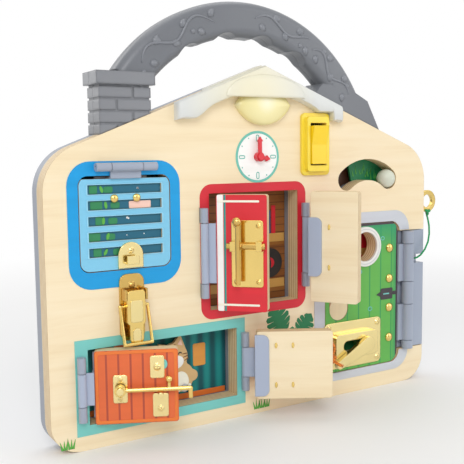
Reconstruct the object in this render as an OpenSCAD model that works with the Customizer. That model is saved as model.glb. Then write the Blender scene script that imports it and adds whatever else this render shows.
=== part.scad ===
// Wooden busy board shaped like a house, with a grey carrying handle, a chimney
// and small doors that each have a lock of their own.
// X runs to the right, Z up, and the painted face looks along -Y. The face of the
// wooden panel is the plane Y = 0 and the board stands on Z = 0.

/* [Board] */
// Width of the house outline
board_w = 350; // [345:1:356]
// Height at which the roof slope would meet the side
eave_h = 205; // [204:1:208]
// Height at which the two roof slopes would meet
ridge_h = 273; // [272:1:276]
// Thickness of the plywood panel
panel_t = 13; // [13:0.5:14]
// Depth of the plastic shell behind the panel
shell_depth = 10; // [10:0.5:13]
// Wall of the plastic shell
shell_wall = 2.4; // [2:0.2:3]
// Radius of the two bottom corners
foot_r = 22; // [16:1:28]
// Radius of the two corners under the roof
eave_r = 34; // [26:1:40]
// Radius of the roof ridge
ridge_r = 14; // [10:1:18]

/* [Closet] */
// Width of the closet opening
closet_w = 82; // [80:1:84]
// Height of the closet opening
closet_h = 89; // [85:1:91]
// Centre of the closet, to the left of the middle when negative
closet_x = -7; // [-8:0.5:-6]
// Height of the closet's centre
closet_z = 133; // [132:0.5:135]
// Angle at which the left closet door stands open
closet_left_open = 44; // [40:1:50]
// Angle at which the right closet door stands open
closet_right_open = 124; // [115:1:125]

/* [Kennel] */
// Width of the kennel opening
kennel_w = 122; // [118:1:123]
// Height of the kennel opening
kennel_h = 54; // [53:1:55]
// Centre of the kennel, to the left of the middle when negative
kennel_x = -86; // [-87:0.5:-85]
// Height of the kennel's centre
kennel_z = 45; // [45:0.5:47]
// Angle at which the left kennel door stands open
kennel_left_open = 25; // [20:1:30]
// Angle at which the right kennel door stands open
kennel_right_open = 150; // [140:1:152]
// Thickness of the four small plywood doors
small_door_t = 9; // [8:0.5:9.5]

/* [Window] */
// Width of the window opening
window_w = 70; // [68:1:71]
// Height of the window opening
window_h = 67; // [65:1:69]
// Centre of the window, to the left of the middle when negative
window_x = -115.5; // [-117:0.5:-115]
// Height of the window's centre
window_z = 159.5; // [159:0.5:161]
// Thickness of the shutter
shutter_t = 7; // [6:0.5:8]

/* [Front door] */
// Width of the doorway
doorway_w = 84; // [82:1:85]
// Height of the doorway
doorway_h = 126.5; // [124:0.5:128]
// Centre of the doorway, to the right of the middle
doorway_x = 104; // [103:0.5:105]
// Height of the doorway's sill
doorway_z = 20; // [19:0.5:22]
// Thickness of the front door
door_t = 11.5; // [11:0.5:12]
// Radius of the front door's corners
door_corner_r = 10; // [6:1:12]
// Hole of the porthole in the front door
porthole_d = 25.4; // [22:0.2:28]

/* [Hinges] */
// Radius of the small doors' hinge barrels
barrel_r = 3; // [2.8:0.1:3.2]
// Distance of a small hinge's axis from the edge of its opening
barrel_out = 6; // [5.5:0.5:6.5]
// Radius of the front door's hinge barrel
column_r = 5.2; // [5:0.1:5.5]
// Diameter of the hinge pins
pin_d = 2; // [1.8:0.1:2.2]
// Gap between a door and its opening
door_gap = 0.6; // [0.5:0.1:0.8]
// Radial clearance of a pin in its knuckle
pin_play = 0.05; // [0.03:0.01:0.08]

/* [Handle] */
// Outer radius of the handle's arch
arch_r = 129; // [127:1:131]
// Radial width of the handle
grip_w = 27; // [25:1:29]
// Centre of the arch, to the left of the middle when negative
arch_x = -13; // [-14:0.5:-12]
// Depth of the arch's centre under the ridge
arch_drop = 80; // [78:1:82]
// Width of the chimney
chimney_w = 39; // [37:1:41]
// Left side of the chimney
chimney_x = -133; // [-134:0.5:-132]
// Height of the chimney's top over the arch's centre
chimney_rise = 72; // [71:1:74]

/* [Small parts] */
// Diameter of the clock dial
clock_d = 40; // [38:1:42]
// Diameter of the wooden ball in the curved slot
ball_d = 16; // [15:0.5:16.5]
// Width of the curved slot
slot_w = 18; // [17.6:0.2:19]
// Radius of the ball's path
swing_r = 37; // [36:0.5:38]
// Half of the angle through which the ball swings
swing_half = 39; // [36:1:40]
// Thickness of the sheet brass
brass_t = 1.4; // [1.2:0.1:1.6]

/* [Hidden] */

// Depths, from the face of the panel backwards
floor_y = panel_t + shell_depth - shell_wall;
back_y = panel_t + shell_depth;
card_t = 1;
seat_gap = 0.3;
// Roof
roof_angle = atan((ridge_h - eave_h) / (board_w / 2));
function roof_z(x) = ridge_h - abs(x) * tan(roof_angle);
arch_z = ridge_h - arch_drop;
chimney_top = arch_z + chimney_rise;
// Edges of the openings
closet_left = closet_x - closet_w / 2;
closet_right = closet_x + closet_w / 2;
kennel_left = kennel_x - kennel_w / 2;
kennel_right = kennel_x + kennel_w / 2;
doorway_left = doorway_x - doorway_w / 2;
doorway_right = doorway_x + doorway_w / 2;
window_top = window_z + window_h / 2;
window_bottom = window_z - window_h / 2;
room_margin = 1.6;
porch_side = 5;
room_wall = 1.6;
// Hinge axes of the small doors
axis_y = -barrel_r - 0.4;
closet_left_axis = closet_left - barrel_out;
closet_right_axis = closet_right + barrel_out;
kennel_left_axis = kennel_left - barrel_out;
kennel_right_axis = kennel_right + barrel_out;
window_axis_z = window_top + barrel_out;
closet_barrel_h = 68;
closet_leaf_h = 47;
kennel_barrel_h = 46;
kennel_leaf_h = kennel_h - 6;
window_barrel_w = 46;
knuckle_gap = 0.4;
post_w = 4;
leaf_t = 1.6;
// Hinge of the front door
column_x = doorway_right + 8;
column_y = -column_r + 3;
column_z = 31;
column_h = 106;
// Curved slot
slot_x = 108.5;
slot_pivot_z = 155.3;
// Lamp
lamp_z = ridge_h - 30;
canopy_t = 8;
canopy_half = 76;
// Switch
switch_x = 51;
switch_drop = 39.183;
switch_z = roof_z(switch_x) - switch_drop;
switch_w = 28;
switch_h = 50;
rocker_w = 15;
rocker_h = 31;
rocker_tilt = 5;
// Clock
clock_x = -4;
clock_z = ridge_h - 68.5;
// Latch below the window
latch_x = window_x + 2.5;
latch_w = 19;
latch_z = window_bottom - 3;
// Keeper beside the front door
keeper_x = doorway_left - 12;
keeper_z = 45.5;
// Key in the side
key_z = 162;

// An extrusion of a front-view outline from depth y0 to depth y1
module slab(y0, y1) {
    translate([0, y1, 0]) rotate([90, 0, 0]) linear_extrude(y1 - y0) children();
}

// A box given by its two corners
module box(a, b) {
    translate(a) cube(b - a);
}

// A rod along Y from y0 to y1
module rod_y(x, z, y0, y1, r) {
    translate([x, y1, z]) rotate([90, 0, 0]) cylinder(r = r, h = y1 - y0, $fn = 48);
}

// A rod along X from x0 to x1
module rod_x(x0, x1, y, z, r) {
    translate([x0, y, z]) rotate([0, 90, 0]) cylinder(r = r, h = x1 - x0, $fn = 48);
}

// A rod along Z from z0 to z1
module rod_z(x, y, z0, z1, r) {
    translate([x, y, z0]) cylinder(r = r, h = z1 - z0, $fn = 48);
}

// A rectangle with round corners, about its centre
module round_rect(w, h, r) {
    square([w - 2 * r, h], center = true);
    square([w, h - 2 * r], center = true);
    for (i = [-1, 1], j = [-1, 1])
        translate([i * (w / 2 - r), j * (h / 2 - r)]) circle(r, $fn = 64);
}

// A ring sector between two radii, from angle a0 to a1 measured from straight up
module sector(r0, r1, a0, a1, steps = 12) {
    intersection() {
        difference() {
            circle(r1, $fn = 96);
            circle(r0, $fn = 96);
        }
        polygon(concat([[0, 0]], [for (i = [0:steps])
            let (a = a0 + (a1 - a0) * i / steps) 2 * r1 * [sin(a), cos(a)]]));
    }
}

// A screw whose domed head looks along -Y, with its head's back at depth y
module domed_screw(x, z, y, r, shank_r, shank_l) {
    dome = r * 0.55;
    ball = (r * r + dome * dome) / (2 * dome);
    difference() {
        intersection() {
            translate([x, y - dome + ball, z]) sphere(ball, $fn = 48);
            rod_y(x, z, y - dome, y, r);
        }
        box([x - r * 0.6, y - dome - 1, z - r * 0.12], [x + r * 0.6, y - dome * 0.55, z + r * 0.12]);
        box([x - r * 0.12, y - dome - 1, z - r * 0.6], [x + r * 0.12, y - dome * 0.55, z + r * 0.6]);
    }
    rod_y(x, z, y, y + shank_l, shank_r);
}

// Outline of the house, drawn in by inset. Centres of its five corners, counter-clockwise
corners = [
    [foot_r - board_w / 2, foot_r, foot_r],
    [board_w / 2 - foot_r, foot_r, foot_r],
    [board_w / 2 - eave_r, roof_z(board_w / 2 - eave_r) - eave_r / cos(roof_angle), eave_r],
    [0, ridge_h - ridge_r / cos(roof_angle), ridge_r],
    [eave_r - board_w / 2, roof_z(board_w / 2 - eave_r) - eave_r / cos(roof_angle), eave_r]
];
function tangent(a, b, inset) =
    let (d = [b[0] - a[0], b[1] - a[1]], l = norm(d), u = d / l,
        s = (a[2] - b[2]) / l, n = [u[1], -u[0]] * sqrt(1 - s * s) + u * s)
    [[a[0], a[1]] + n * (a[2] - inset), [b[0], b[1]] + n * (b[2] - inset)];
module house(inset = 0) {
    polygon([for (i = [0:4]) each tangent(corners[i], corners[(i + 1) % 5], inset)]);
    for (c = corners) translate([c[0], c[1]]) circle(c[2] - inset, $fn = 96);
}

// Front-view outlines of the openings, grown by grow
module closet_outline(grow = 0) {
    translate([closet_x, closet_z]) square([closet_w + 2 * grow, closet_h + 2 * grow], center = true);
}
module kennel_outline(grow = 0) {
    translate([kennel_x, kennel_z]) square([kennel_w + 2 * grow, kennel_h + 2 * grow], center = true);
}
module window_outline(grow = 0) {
    translate([window_x, window_z]) round_rect(window_w + 2 * grow, window_h + 2 * grow, 7 + grow);
}
module doorway_outline(grow = 0) {
    translate([doorway_x, doorway_z + doorway_h / 2])
        round_rect(doorway_w + 2 * grow, doorway_h + 2 * grow, door_corner_r + grow);
}
// Space behind the doorway, wide enough for the lock's cam to turn
module porch_outline(grow = 0) {
    translate([doorway_left - porch_side - grow, doorway_z - porch_side - grow])
        square([doorway_w + 2 * (porch_side + grow), doorway_h + porch_side + room_margin + 2 * grow]);
}
// Points of an arc, with angles measured clockwise from straight up
function arc_points(c, r, a0, a1, steps) =
    [for (i = [0:steps]) let (a = a0 + (a1 - a0) * i / steps) c + r * [sin(a), cos(a)]];
module slot_outline(grow = 0) {
    h = swing_half;
    r = slot_w / 2 + grow;
    translate([slot_x, slot_pivot_z]) polygon(concat(
        arc_points([0, 0], swing_r + r, h, -h, 30),
        arc_points(swing_r * [-sin(h), cos(h)], r, -h - 8, -h - 172, 20),
        arc_points([0, 0], swing_r - r, -h, h, 30),
        arc_points(swing_r * [sin(h), cos(h)], r, h + 172, h + 8, 20)));
}

// Places along the house where the shell is screwed to the panel
screw_places = [
    [-160, 14], [0, 12], [160, 14], [-160, 100], [-64, 105], [48.5, 90],
    [-150, 205], [150, 193], [-66, 205], [60, 190]
];

module front_panel() {
    color("wheat") difference() {
        slab(0, panel_t) difference() {
            house();
            closet_outline();
            kennel_outline();
            window_outline();
            doorway_outline();
            slot_outline();
            translate([0, lamp_z + 4]) circle(9, $fn = 48);
            translate([switch_x, switch_z]) square([rocker_w + 5, rocker_h + 5], center = true);
            translate([clock_x, clock_z]) circle(1.6, $fn = 32);
            // Notch at the right edge for the hinge column
            translate([doorway_right - 1, column_z - 0.6])
                square([board_w / 2 - doorway_right + 2, column_h + 1.2]);
            // Hole for the keeper
            translate([keeper_x, keeper_z]) square([10.6, 20.6], center = true);
            post_slots();
        }
        // Pilot holes for the shell's screws
        for (p = screw_places) rod_y(p[0], p[1], panel_t - 8, panel_t + 1, 1.1);
        for (z = latch_screw_z) rod_y(latch_x, z, -1, 7, 1.1);
        // Slot for the key in the right edge
        box([board_w / 2 - 34, 4.6, key_z - 7.6], [board_w / 2 + 1, 9, key_z + 7.6]);
    }
}

latch_screw_z = [latch_z - 8, latch_z - 41];

// Fixed knuckles of the small doors stand on posts that pass through the panel.
// Each entry is the axis' X, the lower end of the post and its height.
post_h = 11;
function posts_of(x, mid, h) = [for (s = [0, 1]) [x, mid - h / 2 + s * (h - post_h)]];
post_places = concat(
    posts_of(closet_left_axis, closet_z, closet_barrel_h),
    posts_of(closet_right_axis, closet_z, closet_barrel_h),
    posts_of(kennel_left_axis, kennel_z, kennel_barrel_h),
    posts_of(kennel_right_axis, kennel_z, kennel_barrel_h));
window_post_x = [window_x - window_barrel_w / 2, window_x + window_barrel_w / 2 - post_h];
module post_slots() {
    for (p = post_places)
        translate([p[0] - post_w / 2 - seat_gap, p[1] - seat_gap])
            square([post_w + 2 * seat_gap, post_h + 2 * seat_gap]);
    for (x = window_post_x)
        translate([x - seat_gap, window_axis_z - post_w / 2 - seat_gap])
            square([post_h + 2 * seat_gap, post_w + 2 * seat_gap]);
}

module small_hinge_posts() {
    bore = pin_d / 2 + pin_play;
    color("slategray") {
        for (p = post_places) difference() {
            union() {
                rod_z(p[0], axis_y, p[1], p[1] + post_h, barrel_r);
                box([p[0] - post_w / 2, axis_y, p[1]], [p[0] + post_w / 2, floor_y, p[1] + post_h]);
            }
            rod_z(p[0], axis_y, p[1] - 1, p[1] + post_h + 1, bore);
        }
        for (x = window_post_x) difference() {
            union() {
                rod_x(x, x + post_h, axis_y, window_axis_z, barrel_r);
                box([x, axis_y, window_axis_z - post_w / 2], [x + post_h, floor_y, window_axis_z + post_w / 2]);
            }
            rod_x(x - 1, x + post_h + 1, axis_y, window_axis_z, bore);
        }
    }
}

module small_hinge_pins() {
    color("silver") {
        for (a = [[closet_left_axis, closet_z, closet_barrel_h], [closet_right_axis, closet_z, closet_barrel_h],
                [kennel_left_axis, kennel_z, kennel_barrel_h], [kennel_right_axis, kennel_z, kennel_barrel_h]])
            rod_z(a[0], axis_y, a[1] - a[2] / 2 + 0.5, a[1] + a[2] / 2 - 0.5, pin_d / 2);
        rod_x(window_x - window_barrel_w / 2 + 0.5, window_x + window_barrel_w / 2 - 0.5,
            axis_y, window_axis_z, pin_d / 2);
    }
}

battery_x = 0;
battery_z = 226;
battery_w = 52;
battery_h = 22;
module back_shell() {
    color("slategray") difference() {
        union() {
            slab(floor_y, back_y) house();
            slab(panel_t, floor_y) {
                difference() {
                    house();
                    house(shell_wall);
                }
                difference() {
                    closet_outline(room_margin + room_wall);
                    closet_outline(room_margin);
                }
                difference() {
                    kennel_outline(room_margin + room_wall);
                    kennel_outline(room_margin);
                }
                difference() {
                    porch_outline(room_wall);
                    porch_outline();
                }
                difference() {
                    translate([battery_x, battery_z])
                        square([battery_w + 2 * room_wall, battery_h + 2 * room_wall], center = true);
                    translate([battery_x, battery_z]) square([battery_w, battery_h], center = true);
                }
                for (p = screw_places) translate(p) circle(4.2, $fn = 40);
            }
            // Pivot of the ball's plate, with the shoulder that keeps the plate off the floor
            rod_y(slot_x, slot_pivot_z, ball_plate_y0 - seat_gap, floor_y, 3);
            rod_y(slot_x, slot_pivot_z, ball_plate_y1 + seat_gap, floor_y, 5);
            // Boss for the battery cover's screw
            box([cover_screw_x - 2.2, panel_t + 0.2, battery_z - 3], [battery_x + battery_w / 2 + 0.5, floor_y, battery_z + 3]);
        }
        for (p = screw_places) {
            rod_y(p[0], p[1], panel_t - 1, back_y + 1, 1.7);
            rod_y(p[0], p[1], back_y - 3, back_y + 1, 3.4);
        }
        // Door of the battery box
        translate([battery_x, 0, battery_z])
            box([-battery_w / 2 + 1, floor_y - 0.1, -battery_h / 2 + 1], [battery_w / 2 - 1, back_y + 1, battery_h / 2 - 1]);
        rod_y(cover_screw_x, battery_z, floor_y - 5.4, back_y, 1.15);
        // Feet of the handle
        for (f = handle_feet) box([f[0] - 0.2, panel_t - 1, f[2] - 0.2], [f[1] + 0.2, floor_y, ridge_h]);
        // Hinge column at the right edge
        box([doorway_right - 0.4, panel_t - 1, column_z - 0.4],
            [board_w / 2 + 1, floor_y - 0.2, column_z + column_h + 0.4]);
    }
}

module shell_screws() {
    color("silver") for (p = screw_places) {
        rod_y(p[0], p[1], back_y - 3, back_y - 0.8, 3);
        rod_y(p[0], p[1], panel_t - 7.5, back_y - 3, 1.05);
    }
}

module room_backdrops() {
    color("sienna") slab(floor_y - card_t, floor_y) {
        closet_outline(room_margin - 0.5);
        kennel_outline(room_margin - 0.5);
        difference() {
            porch_outline(-0.5);
            translate([doorway_right + 1, 0]) square([20, 200]);
        }
        window_outline(3);
    }
}

module door_stop(x, z, half) {
    slab(small_door_t + 0.3, floor_y - card_t) translate([x, z])
        polygon([[-half, seat_gap], [half, seat_gap], [half, 4], [half - 4, 8], [4 - half, 8], [-half, 4]]);
    slab(panel_t + 0.2, floor_y - card_t) translate([x - half, z - room_margin]) square([2 * half, room_margin + 2]);
}
module door_stops() {
    color("dimgray") {
        door_stop(closet_x - 4, closet_z - closet_h / 2, 11);
        door_stop(kennel_x, kennel_z - kennel_h / 2, 10);
    }
}

// ---- Handle and chimney ----
handle_y0 = 0.5;
handle_y1 = 22.5;
handle_mid = (handle_y0 + handle_y1) / 2;
handle_feet = [[-128, -99, 222], [70, 104, 218]];
brick_pitch = 8.7;
brick_l = 24.5;
mortar = 1.6;
mortar_depth = 0.8;
cap_h = 9;
cap_over = 2.6;
scallop_r = 13;
scallop_step = 19;
scallop_first = -28;
foot_flare = [[50, roof_z(50) - 1], [60, 263], [84, 262], [108, 250], [122, roof_z(122) - 1]];

// Everything above the roof line
module above_roof() {
    polygon([[-200, roof_z(200)], [0, ridge_h], [200, roof_z(200)], [200, 400], [-200, 400]]);
}

// The arch between two depths, with its front and rear edges rounded
module arch(y0, y1) {
    r_mid = arch_r - grip_w / 2;
    translate([arch_x, handle_mid, arch_z]) rotate([90, 0, 0]) rotate([0, 0, 12])
        rotate_extrude(angle = 133, $fn = 180) translate([r_mid, 0]) intersection() {
            round_rect(grip_w, handle_y1 - handle_y0, 7);
            translate([-grip_w, handle_mid - y1]) square([2 * grip_w, y1 - y0]);
        }
}

// Hollow of the arch, shared by its two halves
module arch_core() {
    translate([arch_x, handle_mid, arch_z]) rotate([90, 0, 0]) rotate([0, 0, 40])
        rotate_extrude(angle = 92, $fn = 180)
            translate([arch_r - grip_w / 2 + 2, 0]) square([11, 14], center = true);
}

module chimney_block(y0, y1) {
    x0 = chimney_x;
    x1 = chimney_x + chimney_w;
    z0 = roof_z(x0) - 2;
    difference() {
        box([x0, y0, z0], [x1, y1, chimney_top - cap_h]);
        for (i = [0:4]) {
            z = chimney_top - cap_h - mortar / 2 - i * brick_pitch;
            difference() {
                box([x0 - 1, handle_y0 - 1, z - mortar / 2], [x1 + 1, handle_y1 + 1, z + mortar / 2]);
                box([x0 + mortar_depth, handle_y0 + mortar_depth, z - mortar],
                    [x1 - mortar_depth, handle_y1 - mortar_depth, z + mortar]);
            }
            // Upright joints, staggered from course to course
            first = x0 + (i % 2 == 0 ? brick_l : brick_l / 2);
            for (x = [first:brick_l + mortar:x1 - 3]) {
                box([x, handle_y0 - 1, z - brick_pitch], [x + mortar, handle_y0 + mortar_depth, z]);
                box([x, handle_y1 - mortar_depth, z - brick_pitch], [x + mortar, handle_y1 + 1, z]);
            }
        }
    }
    box([x0 - cap_over, max(y0 - cap_over, y0 == handle_y0 ? -cap_over : y0), chimney_top - cap_h],
        [x1 + cap_over, y1 == handle_y1 ? y1 + 1.4 : y1, chimney_top]);
}

module handle_half(y0, y1) {
    difference() {
        union() {
            arch(y0, y1);
            slab(y0, y1) polygon(foot_flare);
            chimney_block(y0, y1);
        }
        arch_core();
        for (i = [0:3]) {
            a = scallop_first + i * scallop_step;
            rod_y(arch_x + (arch_r - grip_w - 9) * sin(a), arch_z + (arch_r - grip_w - 9) * cos(a), -5, 30, scallop_r);
        }
        slab(-5, 30) difference() {
            translate([-200, 100]) square([400, 180]);
            above_roof();
        }
    }
}

module handle_front_shell() {
    color("gray") handle_half(handle_y0, handle_mid);
}

module handle_rear_shell() {
    color("gray") {
        handle_half(handle_mid, handle_y1);
        for (f = handle_feet) slab(panel_t + 0.1, floor_y - 0.1)
            polygon([[f[0], f[2]], [f[1], f[2]], [f[1], roof_z(f[1]) + 1], [f[0], roof_z(f[0]) + 1]]);
    }
}

// ---- Lamp under the ridge ----
canopy_drop = 12;
canopy_wave = 2.4;
canopy_arch_r = 30;
canopy_arch_z = ridge_h - 45;
lens_z = ridge_h - 16;
lens_r = 28;
module roof_canopy() {
    color("ivory") {
        slab(-canopy_t, 0) difference() {
            polygon(concat(
                [[-canopy_half, roof_z(canopy_half) + 1], [0, ridge_h + 1.5], [canopy_half, roof_z(canopy_half) + 1]],
                [for (i = [19:-1:-19]) let (x = i * canopy_half / 19)
                    [x, roof_z(x) - canopy_drop + canopy_wave * cos(i * 56)]]));
            translate([0, canopy_arch_z]) circle(canopy_arch_r, $fn = 96);
            translate([switch_x, switch_z]) round_rect(switch_w + 0.8, switch_h + 0.8, 4.4);
        }
        // Lip that lies on the roof's edge
        slab(-0.1, panel_t - 3)
            polygon([[-48, roof_z(48) + 0.1], [0, ridge_h + 0.1], [48, roof_z(48) + 0.1],
                [48, roof_z(48) + 1.6], [0, ridge_h + 1.7], [-48, roof_z(48) + 1.6]]);
    }
}

module lamp_lens() {
    color("lightyellow") {
        slab(-4.4, 0) lens_outline(0);
        slab(-6.2, -4.2) lens_outline(2.4);
    }
}
module lens_outline(inset) {
    intersection() {
        translate([0, lens_z]) circle(lens_r - inset, $fn = 96);
        translate([0, canopy_arch_z]) circle(canopy_arch_r - seat_gap - inset, $fn = 96);
    }
}

module lamp_board() {
    color("seagreen") rod_y(0, lamp_z + 4, 8, 9.6, 8.8);
    color("white") {
        rod_y(0, lamp_z + 4, 5, 8, 2.5);
        translate([0, 5, lamp_z + 4]) intersection() {
            sphere(2.5, $fn = 32);
            box([-3, -3, -3], [3, 0.01, 3]);
        }
    }
}

cell_d = 11.6;
cell_h = 5.4;
module battery_cells() {
    color("silver") for (i = [-1:1])
        rod_y(battery_x - 2 + i * (cell_d + 2), battery_z, floor_y - cell_h, floor_y, cell_d / 2);
}

cover_screw_x = battery_x + battery_w / 2 - 6;
module battery_cover() {
    color("slategray") difference() {
        translate([battery_x, 0, battery_z]) slab(floor_y, back_y)
            square([battery_w - 2 - 2 * seat_gap, battery_h - 2 - 2 * seat_gap], center = true);
        rod_y(cover_screw_x, battery_z, floor_y - 1, back_y + 1, 1.2);
        rod_y(cover_screw_x, battery_z, back_y - 1.4, back_y + 1, 2.5);
    }
}

module battery_cover_screw() {
    color("silver") {
        rod_y(cover_screw_x, battery_z, back_y - 1.4, back_y - 0.2, 2.3);
        rod_y(cover_screw_x, battery_z, floor_y - 5, back_y - 1.4, 1.1);
    }
}

// ---- Yellow switch ----
switch_rise = 6;
rocker_axis_y = -2.6;
rocker_pin_r = 1.5;
module switch_plate() {
    color("gold") translate([switch_x, 0, switch_z]) difference() {
        union() {
            slab(-2.2, 0) round_rect(switch_w, switch_h, 4);
            slab(-switch_rise, 0) round_rect(switch_w - 6, switch_h - 6, 3);
        }
        box([-rocker_w / 2 - 0.4, -10, -rocker_h / 2 - 1.4], [rocker_w / 2 + 0.4, 1, rocker_h / 2 + 1.4]);
        rod_x(-rocker_w / 2 - 2.6, rocker_w / 2 + 2.6, rocker_axis_y, 0, rocker_pin_r + pin_play);
    }
}

module switch_rocker() {
    color("yellow") translate([switch_x, rocker_axis_y, switch_z]) rotate([rocker_tilt, 0, 0]) {
        translate([-rocker_w / 2, 0, 0]) rotate([90, 0, 90]) linear_extrude(rocker_w)
            polygon([[-6.4, -rocker_h / 2], [-4.6, 0], [-6.4, rocker_h / 2], [3, rocker_h / 2 - 1.5],
                [6, 4], [6, -4], [3, -rocker_h / 2 + 1.5]]);
        rod_x(-rocker_w / 2 - 2.4, rocker_w / 2 + 2.4, 0, 0, rocker_pin_r);
    }
}

// ---- Small doors ----
// Swings a piece of a closed door outwards about an upright axis, at the left or the right
module swung_left(x, angle) {
    translate([x, axis_y, 0]) rotate([0, 0, -angle]) translate([-x, -axis_y, 0]) children();
}
module swung_right(x, angle) {
    translate([x, axis_y, 0]) rotate([0, 0, angle]) translate([-x, -axis_y, 0]) children();
}

// Hinge leaf of a small door, with its axis on Z: a knuckle, a bridge over the border,
// a web along the door's edge and a plate on the door's inner face
plate_w = 11;
module small_leaf(barrel_h, plate_h, leaf_door_t) {
    half = barrel_h / 2 - post_h - knuckle_gap;
    face = -axis_y;
    web = barrel_out + door_gap;
    difference() {
        union() {
            rod_z(0, 0, -half, half, barrel_r);
            box([0, face - 0.4 - leaf_t, -half], [web + leaf_t, face - 0.4, half]);
            box([web, face - 0.4 - leaf_t, -half], [web + leaf_t, face + leaf_door_t + leaf_t, half]);
            translate([web, 0, 0]) slab(face + leaf_door_t, face + leaf_door_t + leaf_t) intersection() {
                round_rect(2 * plate_w, plate_h, 5);
                translate([0, -plate_h]) square([2 * plate_w, 2 * plate_h]);
            }
        }
        rod_z(0, 0, -half - 1, half + 1, pin_d / 2 + pin_play);
    }
}

// Panel of a small door, from its hinged edge x0 to its free edge x1
module small_door(x0, x1, mid_z, h) {
    w = abs(x1 - x0);
    translate([(x0 + x1) / 2, 0, mid_z]) slab(0, small_door_t) round_rect(w, h, 2);
}
door_inset = door_gap + leaf_t;

module closet_left_door() {
    color("tomato") swung_left(closet_left_axis, closet_left_open)
        small_door(closet_left + door_inset, closet_x - door_gap / 2, closet_z, closet_h - 2 * door_gap);
}
module closet_right_door() {
    color("tomato") swung_right(closet_right_axis, closet_right_open)
        small_door(closet_right - door_inset, closet_x + door_gap / 2, closet_z, closet_h - 2 * door_gap);
}
module closet_left_leaf() {
    color("lightsteelblue") swung_left(closet_left_axis, closet_left_open)
        translate([closet_left_axis, axis_y, closet_z]) small_leaf(closet_barrel_h, closet_leaf_h, small_door_t);
}
module closet_right_leaf() {
    color("lightsteelblue") swung_right(closet_right_axis, closet_right_open)
        translate([closet_right_axis, axis_y, closet_z]) mirror([1, 0, 0])
            small_leaf(closet_barrel_h, closet_leaf_h, small_door_t);
}

// Bolt across the closet doors. Its places are measured from the free edge of the left door
bolt_z = closet_z + 6;
bolt_r = 2.4;
bolt_y = -brass_t - bolt_r - 0.8;
bolt_travel = 10;
case_w = 24;
case_h = 50;
guide_l = 4.5;
module bolt_guide(x0, x1) {
    box([x0, bolt_y - bolt_r - 1, bolt_z - bolt_r - 1.2], [x1, -brass_t + 0.2, bolt_z + bolt_r + 1.2]);
}
module closet_bolt_case() {
    color("goldenrod") swung_left(closet_left_axis, closet_left_open) translate([closet_x, 0, 0]) {
        difference() {
            union() {
                translate([-3 - case_w / 2, 0, closet_z]) slab(-brass_t, 0) round_rect(case_w, case_h, 2);
                bolt_guide(-3 - case_w, -3 - case_w + guide_l);
                bolt_guide(-3 - guide_l, -3);
            }
            rod_x(-40, 5, bolt_y, bolt_z, bolt_r + pin_play);
        }
        for (x = [-6.5, -case_w + 0.5], s = [-1, 1])
            domed_screw(x, closet_z + s * (case_h / 2 - 4), -brass_t, 1.8, 0.8, brass_t);
    }
}
module closet_bolt() {
    pull_x = -3 - case_w + guide_l + 2.2;
    color("gold") swung_left(closet_left_axis, closet_left_open) translate([closet_x, 0, 0]) {
        rod_x(-3 - case_w - 3, -1, bolt_y, bolt_z, bolt_r);
        rod_y(pull_x, bolt_z, bolt_y - 6, bolt_y, 1.5);
        rod_z(pull_x, bolt_y - 6, closet_z - 22, closet_z + 25, 1.8);
        translate([pull_x, bolt_y - 8.6, closet_z + 25]) sphere(3.4, $fn = 48);
    }
}
module closet_bolt_staple() {
    color("goldenrod") swung_right(closet_right_axis, closet_right_open) translate([closet_x, 0, 0]) {
        difference() {
            union() {
                translate([6, 0, bolt_z]) slab(-brass_t, 0) round_rect(7, 20, 2);
                bolt_guide(3.2, 8.2);
            }
            rod_x(-5, 20, bolt_y, bolt_z, bolt_r + 0.2);
        }
        for (s = [-1, 1]) domed_screw(6, bolt_z + s * 7.4, -brass_t, 1.7, 0.8, brass_t);
    }
}

module kennel_left_door() {
    color("darkorange") swung_left(kennel_left_axis, kennel_left_open)
        small_door(kennel_left + door_inset, kennel_x - door_gap / 2, kennel_z, kennel_h - 2 * door_gap);
}
module kennel_right_door() {
    color("darkorange") swung_right(kennel_right_axis, kennel_right_open)
        small_door(kennel_right - door_inset, kennel_x + door_gap / 2, kennel_z, kennel_h - 2 * door_gap);
}
module kennel_left_leaf() {
    color("lightsteelblue") swung_left(kennel_left_axis, kennel_left_open)
        translate([kennel_left_axis, axis_y, kennel_z]) small_leaf(kennel_barrel_h, kennel_leaf_h, small_door_t);
}
module kennel_right_leaf() {
    color("lightsteelblue") swung_right(kennel_right_axis, kennel_right_open)
        translate([kennel_right_axis, axis_y, kennel_z]) mirror([1, 0, 0])
            small_leaf(kennel_barrel_h, kennel_leaf_h, small_door_t);
}

// Cabin hook across the kennel doors
hook_x = kennel_left + 20;
hook_z = kennel_z - 1;
hook_y = -5;
hook_r = 1.6;
hook_pin_r = 1.5;
eye_x = kennel_x + 8;
rest_x = kennel_left + 48;
module hook_plate(x, z, w, h) {
    translate([x, 0, z]) slab(-brass_t, 0) round_rect(w, h, 1.5);
}
module kennel_hook_plates() {
    color("goldenrod") swung_left(kennel_left_axis, kennel_left_open) {
        hook_plate(hook_x, hook_z, 10, 20);
        rod_y(hook_x, hook_z, hook_y - 2.6, 0, hook_pin_r);
        rod_y(hook_x, hook_z, hook_y - 3.6, hook_y - 2.2, 2.6);
        for (s = [-1, 1]) domed_screw(hook_x, hook_z + s * 7.2, -brass_t, 1.7, 0.8, brass_t);
        // Plate whose peg the hook rests on
        hook_plate(rest_x, hook_z - 12.5, 11, 17);
        rod_y(rest_x, hook_z - hook_r - 2.3, hook_y - 2.5, 0, 2);
        domed_screw(rest_x, hook_z - 15, -brass_t, 2.2, 1, brass_t);
        hook_plate(rest_x - 2, hook_z + 15, 10, 16);
        domed_screw(rest_x - 2, hook_z + 15, -brass_t, 2.6, 1, brass_t);
    }
}
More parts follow.
